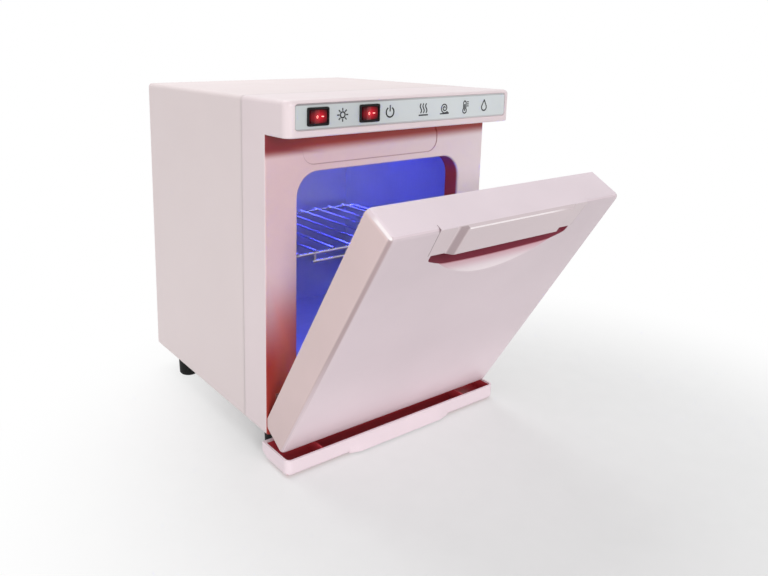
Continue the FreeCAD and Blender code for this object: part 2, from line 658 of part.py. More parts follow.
def front_bezel():
    """Front frame and hood as one hollow moulding."""
    b = body("front_bezel")
    whole_x = span("half_width")
    pad(b, rectangle(sketch_on(b, "XZ"), *whole_x, "0", "case_height"), "bezel_depth", "+Y")
    hood = rectangle(sketch_on(b, "XY", "hood_base"), *whole_x, "-hood_reach", "0")
    pad(b, hood, "hood_height", "+Z")
    hood_z = ("hood_base", "case_height")
    fillet(b, "hood_corner", *[((x, x), ("-hood_reach", "-hood_reach"), hood_z) for x in whole_x])
    sides = [((x, x), ("0", "bezel_depth"), ("0", "0")) for x in whole_x]
    top = [(whole_x, ("-hood_reach", "-hood_reach"), ("case_height", "case_height"))]
    top += [((x, x), ("-hood_reach", "bezel_depth"), ("case_height", "case_height")) for x in whole_x]
    for x0, x1 in (("-half_width", "hood_corner - half_width"), ("half_width - hood_corner", "half_width")):
        top.append(((x0, x1), ("-hood_reach", "hood_corner - hood_reach"), ("case_height", "case_height")))
    fillet(b, "case_corner", *sides, *top)
    front = [((x, x), ("0", "0"), ("0", "hood_base")) for x in whole_x]
    under = [(whole_x, ("-hood_reach", "hood_corner - hood_reach"), ("hood_base", "hood_base"))]
    fillet(b, "edge_round", *front, *under)
    inside = (*span("half_width - bezel_wall"), "bezel_wall", "case_height - bezel_wall")
    hollow = rectangle(sketch_on(b, "XZ", "bezel_depth"), *inside)
    pocket(b, hollow, "bezel_depth - bezel_wall", "-Y")
    room = rectangle(sketch_on(b, "XZ", "bezel_wall"), *span("half_width - hood_corner + edge_round"),
                     "hood_base + hood_wall", "case_height - bezel_wall")
    pocket(b, room, "bezel_wall + hood_reach - hood_wall", "-Y")
    wide = span("opening_width / 2")
    lip = rounded(sketch_on(b, "XZ", "bezel_wall"), *span("opening_width / 2 + lip_wall"),
                  "opening_base - lip_wall", "opening_top + lip_wall", "opening_corner + lip_wall")
    pad(b, lip, "lip_depth", "+Y")
    mouth = rounded(sketch_on(b, "XZ", "-1"), *wide, "opening_base", "opening_top", "opening_corner")
    pocket(b, mouth, "bezel_wall + lip_depth + 2", "+Y")
    fillet(b, "edge_round", (wide, ("0", "0"), ("opening_base", "opening_top")))
    tongue = sketch_on(b, "XZ", "bezel_depth")
    rounded(tongue, *span("half_width - sheet - tongue_play"),
            "sheet + tongue_play", "case_height - sheet - tongue_play", "case_corner - sheet")
    rectangle(tongue, *inside)
    pad(b, tongue, "tongue_length", "+Y")
    low = "(hood_base + plate_base)"
    seat = rounded(sketch_on(b, "XZ", "-hood_reach"), *span("plate_width / 2 + plate_play"),
                   f"{low} - plate_play", f"{low} + plate_height + plate_play", "plate_corner")
    pocket(b, seat, "plate_recess", "+Y")
    holes = sketch_on(b, "XZ", "-hood_reach")
    for name, centre in SWITCHES:
        rectangle(holes, *across(centre, "switch_body_width + 2 * switch_play"),
                  *across("switch_z", "switch_body_height + 2 * switch_play"))
    pocket(b, holes, "hood_wall + 1", "+Y")
    tab = rounded(sketch_on(b, "XZ"), "-tab_left", "tab_right",
                  "hood_base - tab_drop", "hood_base - edge_round", "tab_corner")
    pocket(b, tab, "tab_depth", "+Y")
    front_feet = [(x, y) for name, x, y, top in FEET[:2]]
    foot_holes = circles(sketch_on(b, "XY", "-1"), front_feet, "foot_bolt + screw_play")
    pocket(b, foot_holes, "bezel_wall + 2", "+Z")
    pilots = circles(sketch_on(b, "XZ", "bezel_wall"), LINER_SCREWS, "screw_radius")
    pocket(b, pilots, "bezel_wall - 0.8", "-Y")
    hinge_holes = circles(sketch_on(b, "XZ"), hinge_screw_spots(), "screw_radius")
    pocket(b, hinge_holes, "bezel_wall + 1", "+Y")
    return in_cabinet(part(b, "front_bezel"))


def hinge_screw_spots():
    return [(f"{sign} * ear_x", z) for side, sign in SIDES
            for z in ("pivot_z - bracket_drop + bracket_edge", "pivot_z + bracket_rise - bracket_edge")]


def case_wrap():
    """Folded sheet wrap with bottom returns and a rear flange."""
    b = body("case_wrap")
    ring = sketch_on(b, "XZ", "bezel_depth + seam")
    rounded(ring, *span("half_width"), "0", "case_height", "case_corner")
    rounded(ring, *span("half_width - sheet"), "sheet", "case_height - sheet", "case_corner - sheet")
    pad(b, ring, "case_depth - bezel_depth - seam", "+Y")
    flange = sketch_on(b, "XZ", "case_depth - sheet")
    rounded(flange, *span("half_width - sheet / 2"),
            "sheet / 2", "case_height - sheet / 2", "case_corner - sheet / 2")
    rectangle(flange, *span("half_width - rear_flange"), "rear_flange", "case_height - rear_flange")
    pad(b, flange, "sheet", "+Y")
    slot = rectangle(sketch_on(b, "XY", "-1"), *span("half_width - return_width"),
                     "bezel_depth", "case_depth - sheet")
    pocket(b, slot, "sheet + 1.5", "+Z")
    rear_feet = [(x, y) for name, x, y, top in FEET[2:]]
    holes = circles(sketch_on(b, "XY", "-1"), rear_feet, "foot_bolt + screw_play")
    pocket(b, holes, "sheet + 1.5", "+Z")
    pilots = circles(sketch_on(b, "XZ", "case_depth + 1"), REAR_SCREWS, "screw_radius + screw_play")
    pocket(b, pilots, "sheet + 1.5", "-Y")
    return in_cabinet(part(b, "case_wrap"))


def base_plate():
    b = body("base_plate")
    outline = rectangle(sketch_on(b, "XY", "sheet"), *span("half_width - sheet - case_corner"),
                        "bezel_depth + tongue_length + 2", "case_depth - sheet - 0.5")
    pad(b, outline, "base_sheet", "+Z")
    rear_feet = [(x, y) for name, x, y, top in FEET[2:]]
    holes = circles(sketch_on(b, "XY", "0"), rear_feet, "foot_bolt + screw_play")
    pocket(b, holes, "sheet + base_sheet + 1", "+Z")
    return in_cabinet(part(b, "base_plate"))


def rear_panel():
    """Rear cover with two columns of vent slots and the inlet cut-out."""
    b = body("rear_panel")
    outline = rounded(sketch_on(b, "XZ", "case_depth"), *span("half_width - rear_margin"),
                      "rear_margin", "case_height - rear_margin", "rear_corner")
    pad(b, outline, "sheet", "+Y")
    slots = sketch_on(b, "XZ", "case_depth - 1")
    lowest = "(case_height - vent_drop - vent_pitch * (vent_slots - 1))"
    for centre in ("-case_width / 4", "case_width / 4"):
        rounded(slots, *across(centre, "vent_width"), lowest, f"{lowest} + vent_height", "vent_height * 0.48")
    repeat(b, pocket(b, slots, "sheet + 2", "+Y"), slots, "V_Axis", "vent_pitch", "vent_slots")
    hole = rectangle(sketch_on(b, "XZ", "case_depth - 1"), *across("inlet_x", "inlet_width + 2 * panel_play"),
                     *across("inlet_z", "inlet_height + 2 * panel_play"))
    pocket(b, hole, "sheet + 2", "+Y")
    screws = REAR_SCREWS + INLET_SCREWS + BALLAST_SCREWS
    holes = circles(sketch_on(b, "XZ", "case_depth - 1"), screws, "screw_radius + screw_play")
    pocket(b, holes, "sheet + 2", "+Y")
    return in_cabinet(part(b, "rear_panel"))


def control_plate():
    b = body("control_plate")
    low = "(hood_base + plate_base)"
    outline = rounded(sketch_on(b, "XZ", "plate_face"), *span("plate_width / 2"),
                      low, f"{low} + plate_height", "plate_corner")
    pad(b, outline, "plate_thick", "+Y")
    holes = sketch_on(b, "XZ", "plate_face - 1")
    for name, centre in SWITCHES:
        rectangle(holes, *across(centre, "switch_body_width + 2 * switch_play"),
                  *across("switch_z", "switch_body_height + 2 * switch_play"))
    pocket(b, holes, "plate_thick + 2", "+Y")
    return in_cabinet(part(b, "control_plate"))


def switch(name, centre):
    """Switch housing and its rocker, which turns about a vertical pivot."""
    b = body(name + "_switch_housing")
    flange = rounded(sketch_on(b, "XZ", "switch_face"), *across(centre, "switch_width"),
                     *across("switch_z", "switch_height"), "switch_corner")
    pad(b, flange, "switch_flange", "+Y")
    shell = rectangle(sketch_on(b, "XZ", "plate_face"), *across(centre, "switch_body_width"),
                      *across("switch_z", "switch_body_height"))
    pad(b, shell, "switch_body_depth", "+Y")
    well = rectangle(sketch_on(b, "XZ", "switch_face - 1"),
                     *across(centre, "2 * (rocker_reach + rocker_gap)"),
                     *across("switch_z", "rocker_height + 2 * rocker_gap"))
    pocket(b, well, "rocker_pivot_depth + rocker_reach + 1.5", "+Y")
    bore = circles(sketch_on(b, "XY", "switch_z - rocker_height / 2 - rocker_gap - 0.6"),
                   [(centre, "switch_face + rocker_pivot_depth")], "rocker_pin + pin_play")
    pocket(b, bore, "rocker_height + 2 * rocker_gap + 1.2", "+Z")
    in_cabinet(part(b, name + "_switch_housing"))

    profile = body(name + "_rocker_profile")
    slope = "((rocker_front - rocker_valley) / sqrt(rocker_reach ^ 2 - rocker_front ^ 2))"
    far = "(rocker_reach + 1)"
    outline = polygon(sketch_on(profile, "XY", "-rocker_height / 2"), [
        (f"-{far}", f"-rocker_valley - {far} * {slope}"), ("0", "-rocker_valley"),
        (far, f"-rocker_valley - {far} * {slope}"), (far, "rocker_back"), (f"-{far}", "rocker_back")])
    pad(profile, outline, "rocker_height", "+Z")
    foot = ("0", "0", "-rocker_height / 2")
    drum = cylinder(name + "_rocker_drum", "rocker_reach", "rocker_height", foot, "Z")
    half_pin = "(rocker_height / 2 + rocker_gap + 0.4)"
    pin = cylinder(name + "_rocker_pin", "rocker_pin", f"2 * {half_pin}", ("0", "0", f"-{half_pin}"), "Z")
    rocker = fuse(name + "_rocker", [common(name + "_rocker_cap", [profile, drum]), pin])
    rocker.Placement = FreeCAD.Placement(V(0, 0, 0), FreeCAD.Rotation(V(0, 0, 1), 1))
    bind(rocker, "Placement.Base.x", centre)
    bind(rocker, "Placement.Base.y", "switch_face + rocker_pivot_depth - origin_setback")
    bind(rocker, "Placement.Base.z", "switch_z + foot_height")
    bind(rocker, "Placement.Rotation.Angle", "rocker_tilt")
    part(rocker, name + "_rocker")


def switch_terminals():
    """Push-on blades behind both switches."""
    blades = []
    back = "(plate_face + switch_body_depth)"
    for name, centre in SWITCHES:
        for k in (-1, 0, 1):
            x = f"({centre} + {k} * terminal_pitch)"
            blades.append(block(name + "_terminal", across(x, "terminal_thick"),
                                (back, f"{back} + terminal_length"), across("switch_z", "terminal_width")))
    in_cabinet(part(group("switch_terminals", blades), "switch_terminals"))


def cavity_liner():
    """Chamber box with a front flange and the lamp slot in its ceiling."""
    b = body("cavity_liner")
    shell = rounded(sketch_on(b, "XZ", "bezel_wall"), *span("liner_half + liner_sheet"),
                    "liner_under", "liner_roof", "liner_corner + liner_sheet")
    pad(b, shell, "liner_depth", "+Y")
    flange = rounded(sketch_on(b, "XZ", "bezel_wall"), *span("liner_half + liner_flange"),
                     "liner_base - liner_flange", "liner_top + liner_flange", "liner_corner")
    pad(b, flange, "liner_sheet", "+Y")
    room = rounded(sketch_on(b, "XZ", "bezel_wall"), *span("liner_half"),
                   "liner_base", "liner_top", "liner_corner")
    pocket(b, room, "liner_depth - liner_sheet", "+Y")
    slot = rectangle(sketch_on(b, "XY", "liner_top - 1"), *span("lamp_slot_width / 2"),
                     *across("lamp_y", "lamp_slot_depth"))
    pocket(b, slot, "liner_sheet + 2", "+Z")
    holes = circles(sketch_on(b, "XZ", "bezel_wall - 1"), LINER_SCREWS, "screw_radius + screw_play")
    pocket(b, holes, "liner_sheet + 2", "+Y")
    in_cabinet(part(b, "cavity_liner"))
    screws = [screw_in(f"liner_screw_{i}", spot, "bezel_wall + liner_sheet", "liner_sheet + bezel_wall - 1")
              for i, spot in enumerate(LINER_SCREWS)]
    in_cabinet(part(group("liner_screws", screws), "liner_screws"))


def shelf_rails():
    for side, sign in SIDES:
        b = body("shelf_rail_" + side)
        inner = "liner_half - liner_sheet"
        edge = "liner_half - rail_leg"
        under = "shelf_level - liner_sheet"
        foot = "shelf_level - rail_drop"
        corners = [("liner_half", foot), ("liner_half", "shelf_level"), (edge, "shelf_level"), (edge, under),
                   (inner, under), (inner, foot)]
        outline = polygon(sketch_on(b, "XZ", "rail_front"), [(f"{sign} * ({x})", z) for x, z in corners])
        pad(b, outline, "rail_length", "+Y")
        in_cabinet(part(b, "shelf_rail_" + side))


def wire_shelf():
    """Bent frame wire with welded cross wires and a dropped front wire."""
    b = body("wire_shelf")
    level = "(shelf_level + wire + 0.15)"
    back = "(shelf_front + shelf_depth)"
    path = rounded(sketch_on(b, "XY", level), *span("shelf_width / 2"), "shelf_front", back, "shelf_corner")
    section = circles(sketch_on(b, "YZ", "0"), [("shelf_front", level)], "wire")
    pipe = b.newObject("PartDesign::AdditivePipe", "wire_shelf_frame")
    pipe.Profile = section
    pipe.Spine = (path, [f"Edge{i}" for i in range(1, 9)])
    b.Tip = pipe
    DOC.recompute()
    first = ("-shelf_pitch * (shelf_wires - 1) / 2", f"{level} + wire + rod - weld")
    rods = circles(sketch_on(b, "XZ", "shelf_front - wire"), [first], "rod")
    repeat(b, pad(b, rods, "shelf_depth + 2 * wire", "+Y"), rods, "H_Axis", "shelf_pitch", "shelf_wires")
    drop = [(x, "shelf_front") for x in span("shelf_drop_width / 2")]
    pad(b, circles(sketch_on(b, "XY", level), drop, "rod"), "shelf_drop", "-Z")
    low = [("shelf_front", f"{level} - shelf_drop")]
    bar = circles(sketch_on(b, "YZ", "-shelf_drop_width / 2 - 2 * wire"), low, "wire")
    pad(b, bar, "shelf_drop_width + 4 * wire", "+X")
    in_cabinet(part(b, "wire_shelf"))


def lamp():
    """Lamp well above the chamber ceiling, with tube, holders and guard."""
    wide = "(lamp_slot_width / 2 + reflector_room)"
    front = "(lamp_y - lamp_slot_depth / 2 - reflector_room)"
    back = "(lamp_y + lamp_slot_depth / 2 + reflector_room)"
    roof = "(liner_roof + reflector_height)"
    ceiling = f"({roof} - reflector_sheet)"
    outer = fuse("reflector_outer", [
        block("reflector_box", span(wide), (front, back), ("liner_roof", roof)),
        block("reflector_skirt", span(f"{wide} + reflector_flange"),
              (f"{front} - reflector_flange", f"{back} + reflector_flange"),
              ("liner_roof", "liner_roof + reflector_sheet")),
    ])
    room = block("reflector_hollow", span(f"{wide} - reflector_sheet"),
                 (f"{front} + reflector_sheet", f"{back} - reflector_sheet"), ("liner_roof - 1", ceiling))
    in_cabinet(part(cut("lamp_reflector", outer, room), "lamp_reflector"))

    half = "(tube_length / 2)"
    tube_end = (f"-{half}", "lamp_y", "lamp_z")
    glass = cylinder("tube_outside", "tube_radius", "tube_length", tube_end, "X")
    bore = cylinder("tube_bore", "tube_radius - tube_wall", "tube_length", tube_end, "X")
    in_cabinet(part(cut("uv_tube", glass, bore), "uv_tube"))
    caps = []
    holders = []
    for side, sign in SIDES:
        back_end = f"(1 - {sign}) / 2"
        start = f"({sign} * {half} - {back_end} * cap_length)"
        shell_end = (start, "lamp_y", "lamp_z")
        pieces = [cylinder("cap_shell_" + side, "tube_radius", "cap_length", shell_end, "X")]
        holes = []
        for k in ("-1", "1"):
            y = f"lamp_y + {k} * cap_pin_half"
            pin_x = f"({sign} * ({half} + cap_length) - {back_end} * cap_pin_length)"
            pieces.append(cylinder("cap_pin_" + side, "cap_pin", "cap_pin_length", (pin_x, y, "lamp_z"), "X"))
            hole_end = (f"{pin_x} - {back_end} * holder_play", y, "lamp_z")
            holes.append(cylinder("holder_hole_" + side, "cap_pin + holder_play",
                                  "cap_pin_length + holder_play", hole_end, "X"))
        caps.append(fuse("tube_cap_" + side, pieces))
        near = f"({sign} * ({half} + cap_length + holder_play))"
        far = f"({sign} * ({half} + cap_length + holder_play + holder_width))"
        xs = (far, near) if sign == "-1" else (near, far)
        ys = across("lamp_y", "2 * (tube_radius + holder_side)")
        shell = block("holder_block_" + side, xs, ys, ("liner_roof + holder_side", ceiling))
        holders.append(cut("lamp_holder_" + side, shell, fuse("holder_holes_" + side, holes)))
    in_cabinet(part(group("uv_tube_caps", caps), "uv_tube_caps"))
    in_cabinet(part(group("lamp_holders", holders), "lamp_holders"))

    b = body("lamp_guard")
    low = "(liner_top - reflector_sheet)"
    plate = rectangle(sketch_on(b, "XY", low), *span(f"{wide} + guard_border"),
                      f"{front} - guard_border", f"{back} + guard_border")
    pad(b, plate, "reflector_sheet", "+Z")
    start = "(-guard_pitch * (guard_slots - 1) / 2)"
    slot = rounded(sketch_on(b, "XY", f"{low} - 1"), *across(start, "guard_slot"),
                   f"{front} + 2 * reflector_room", f"{back} - 2 * reflector_room", "guard_slot * 0.45")
    repeat(b, pocket(b, slot, "reflector_sheet + 2", "+Z"), slot, "H_Axis", "guard_pitch", "guard_slots")
    in_cabinet(part(b, "lamp_guard"))


def heater():
    """Heater mat under the chamber floor with its thermostat and thermal cut-out."""
    rear = "(heater_y + heater_depth / 2)"
    mat = fuse("heater_mat", [
        block("heater_sheet", span("heater_width / 2"), across("heater_y", "heater_depth"),
              ("heater_base", "liner_under")),
        block("heater_tail", span("disc_ears"), (f"{rear} - 1", f"{rear} + disc_ears"),
              ("heater_base", "liner_under")),
    ])
    in_cabinet(part(mat, "heater_mat"))
    ledge = "(heater_base - disc_cap)"
    pieces = [
        cylinder("thermostat_cap", "disc_radius", "disc_cap", ("0", "heater_y", ledge), "Z"),
        cylinder("thermostat_body", "disc_radius * 0.8", "disc_body",
                 ("0", "heater_y", f"{ledge} - disc_body"), "Z"),
        block("thermostat_ears", span("disc_ears"), across("heater_y", "disc_radius"),
              (f"{ledge} - reflector_sheet", ledge)),
    ]
    for side, sign in SIDES:
        x = f"({sign} * disc_radius / 2)"
        pieces.append(block("thermostat_tab_" + side, across(x, "terminal_thick"),
                            across("heater_y", "terminal_width"),
                            (f"{ledge} - disc_body - disc_tab", f"{ledge} - disc_body + 1")))
    in_cabinet(part(fuse("thermostat", pieces), "thermostat"))
    link_z = "(heater_base - link_radius - screw_play)"
    link = fuse("thermal_fuse", [
        cylinder("fuse_barrel", "link_radius", "link_length", ("link_offset", "heater_y", link_z), "X"),
        cylinder("fuse_leads", "link_radius / 4", "link_length + 2 * link_lead",
                 ("link_offset - link_lead", "heater_y", link_z), "X"),
    ])
    in_cabinet(part(link, "thermal_fuse"))


def electrics():
    """Ballast on the rear panel and terminal block on the base plate."""
    box = body("ballast")
    front = "(case_depth - ballast_depth)"
    xs = ("ballast_x", "ballast_x + ballast_width")
    zs = ("ballast_base", "ballast_base + ballast_height")
    pad(box, rounded(sketch_on(box, "XZ", front), *xs, *zs, "rear_corner"), "ballast_depth", "+Y")
    fillet(box, "edge_round", (xs, (front, front), zs))
    pilots = circles(sketch_on(box, "XZ", "case_depth"), BALLAST_SCREWS, "screw_radius")
    pocket(box, pilots, "screw_bite + 3", "-Y")
    in_cabinet(part(box, "ballast"))
    screws = [screw_in(f"ballast_screw_{i}", spot, "rear_face", "sheet + screw_bite")
              for i, spot in enumerate(BALLAST_SCREWS)]
    in_cabinet(part(group("ballast_screws", screws), "ballast_screws"))

    strip = body("terminal_block")
    end = "(case_depth - strip_setback)"
    outline = rectangle(sketch_on(strip, "XY", "base_top"), "strip_offset",
                        "strip_offset + strip_pitch * strip_ways", f"{end} - strip_depth", end)
    pad(strip, outline, "strip_height", "+Z")
    way = "strip_offset + strip_pitch / 2"
    rows = [(way, f"{end} - strip_depth * {share}") for share in ("0.25", "0.75")]
    wells = circles(sketch_on(strip, "XY", "base_top + strip_height"), rows, "strip_pitch * 0.2")
    first = pocket(strip, wells, "strip_height * 0.4", "-Z")
    repeat(strip, first, wells, "H_Axis", "strip_pitch", "strip_ways")
    in_cabinet(part(strip, "terminal_block"))


def mains_inlet():
    """Panel inlet with three blades, fixed by two screws, and the screws of the rear panel."""
    b = body("power_inlet")
    flange = rounded(sketch_on(b, "XZ", "rear_face"), *across("inlet_x", "inlet_width + 2 * inlet_ear"),
                     *across("inlet_z", "inlet_height + 2 * inlet_rim"), "inlet_ear * 0.44")
    pad(b, flange, "inlet_flange", "+Y")
    shell = rectangle(sketch_on(b, "XZ", "rear_face"), *across("inlet_x", "inlet_width"),
                      *across("inlet_z", "inlet_height"))
    pad(b, shell, "inlet_depth", "-Y")
    mouth = "(rear_face + inlet_flange + 0.6)"
    left, right = across("inlet_x", "inlet_width - 2 * inlet_wall")
    low, high = across("inlet_z", "inlet_height - 2 * inlet_wall")
    well = polygon(sketch_on(b, "XZ", mouth), [
        (left, low), (right, low), (right, f"{high} - inlet_bevel"), (f"{right} - inlet_bevel", high),
        (f"{left} + inlet_bevel", high), (left, f"{high} - inlet_bevel")])
    pocket(b, well, "inlet_depth", "-Y")
    holes = circles(sketch_on(b, "XZ", mouth), INLET_SCREWS, "screw_radius + screw_play")
    pocket(b, holes, "inlet_flange + 1.6", "-Y")
    in_cabinet(part(b, "power_inlet"))
    pins = []
    depth = (f"{mouth} - inlet_depth", "rear_face - inlet_flange")
    for i, (column, row) in enumerate((("-1", "-1"), ("0", "1"), ("1", "-1"))):
        x = f"(inlet_x + {column} * blade_spread)"
        z = f"(inlet_z + {row} * blade_half)"
        pins.append(block(f"inlet_pin_{i}", across(x, "blade_half"), depth, across(z, "2 * blade_half")))
    in_cabinet(part(group("inlet_pins", pins), "inlet_pins"))
    grip = "inlet_flange + sheet + screw_bite"
    screws = [screw_in(f"inlet_screw_{i}", spot, "rear_face + inlet_flange", grip)
              for i, spot in enumerate(INLET_SCREWS)]
    in_cabinet(part(group("inlet_screws", screws), "inlet_screws"))
    rear = [screw_in(f"rear_screw_{i}", spot, "rear_face", "sheet + screw_bite")
            for i, spot in enumerate(REAR_SCREWS)]
    in_cabinet(part(group("rear_screws", rear), "rear_screws"))


def feet():
    """Four rubber feet, each held by a recessed screw and a nut."""
    bolts = []
    nuts = []
    for name, x, y, top in FEET:
        b = body(name)
        outline = polygon(sketch_on(b, "XZ"), [
            ("foot_bolt + screw_play", "0"), ("foot_top", "0"), ("foot_bottom", "edge_round - foot_height"),
            ("foot_bottom - edge_round * 0.8", "-foot_height"), ("foot_bolt * 2.6", "-foot_height"),
            ("foot_bolt * 2.6", "-foot_seat"), ("foot_bolt + screw_play", "-foot_seat")])
        turn = b.newObject("PartDesign::Revolution", name + "_turn")
        turn.Profile = outline
        turn.ReferenceAxis = (outline, ["V_Axis"])
        b.Tip = turn
        DOC.recompute()
        part(b, name)
        bind(b, "Placement.Base.x", x)
        bind(b, "Placement.Base.y", f"{y} - origin_setback")
        bind(b, "Placement.Base.z", "foot_height")
        bolts.append(fuse(name + "_bolt", [
            cylinder(name + "_bolt_head", "foot_bolt * 2", "foot_bolt * 1.3",
                     (x, y, "-foot_seat - foot_bolt * 1.3"), "Z"),
            cylinder(name + "_bolt_shank", "foot_bolt", f"foot_seat + {top} + nut_height * 1.3",
                     (x, y, "-foot_seat"), "Z"),
        ]))
        hexagon = DOC.addObject("Part::Prism", name + "_hexagon")
        hexagon.Polygon = 6
        bind(hexagon, "Circumradius", "foot_bolt * 2.02")
        bind(hexagon, "Height", "nut_height")
        aim(hexagon, (x, y, top), "Z")
        start = (x, y, f"{top} - 1")
        bore = cylinder(name + "_nut_bore", "foot_bolt + pin_play", "nut_height + 2", start, "Z")
        nuts.append(cut(name + "_nut", hexagon, bore))
    in_cabinet(part(group("foot_screws", bolts), "foot_screws"))
    in_cabinet(part(group("foot_nuts", nuts), "foot_nuts"))


def hinge():
    """Brackets with ears on the frame, their pins and countersunk screws."""
    pins = []
    for side, sign in SIDES:
        name = "hinge_bracket_" + side
        x = f"({sign} * ear_x)"
        solid = fuse(name + "_solid", [
            block(name + "_base", across(x, "bracket_width"), ("-bracket_thick", "0"),
                  ("pivot_z - bracket_drop", "pivot_z + bracket_rise")),
            block(name + "_arm", across(x, "ear_width"), ("pivot_y", "0"),
                  across("pivot_z", "2 * ear_radius")),
            cylinder(name + "_eye", "ear_radius", "ear_width",
                     (f"{x} - ear_width / 2", "pivot_y", "pivot_z"), "X"),
        ])
        bore_end = (f"{x} - ear_width / 2 - 1", "pivot_y", "pivot_z")
        holes = [cylinder(name + "_bore", "hinge_pin", "ear_width + 2", bore_end, "X")]
        for sx, sz in hinge_screw_spots():
            if sx.startswith(sign + " "):
                holes.append(cone(name + "_sink", "screw_head + screw_play", "screw_radius + screw_play",
                                  "bracket_thick + 0.1", (sx, "-bracket_thick - 0.05", sz), "Y"))
        in_cabinet(part(cut(name, solid, fuse(name + "_holes", holes)), name))
        pins.append(cylinder("hinge_pin_" + side, "hinge_pin", "hinge_pin_length",
                             (f"{x} - hinge_pin_length / 2", "pivot_y", "pivot_z"), "X"))
    in_cabinet(part(group("hinge_pins", pins), "hinge_pins"))
    screws = []
    for i, (x, z) in enumerate(hinge_screw_spots()):
        screws.append(fuse(f"hinge_screw_{i}", [
            cone(f"hinge_screw_{i}_head", "screw_head", "screw_radius", "bracket_thick",
                 (x, "-bracket_thick", z), "Y"),
            cylinder(f"hinge_screw_{i}_shank", "screw_radius", "bezel_wall", (x, "0", z), "Y"),
        ]))
    in_cabinet(part(group("hinge_screws", screws), "hinge_screws"))


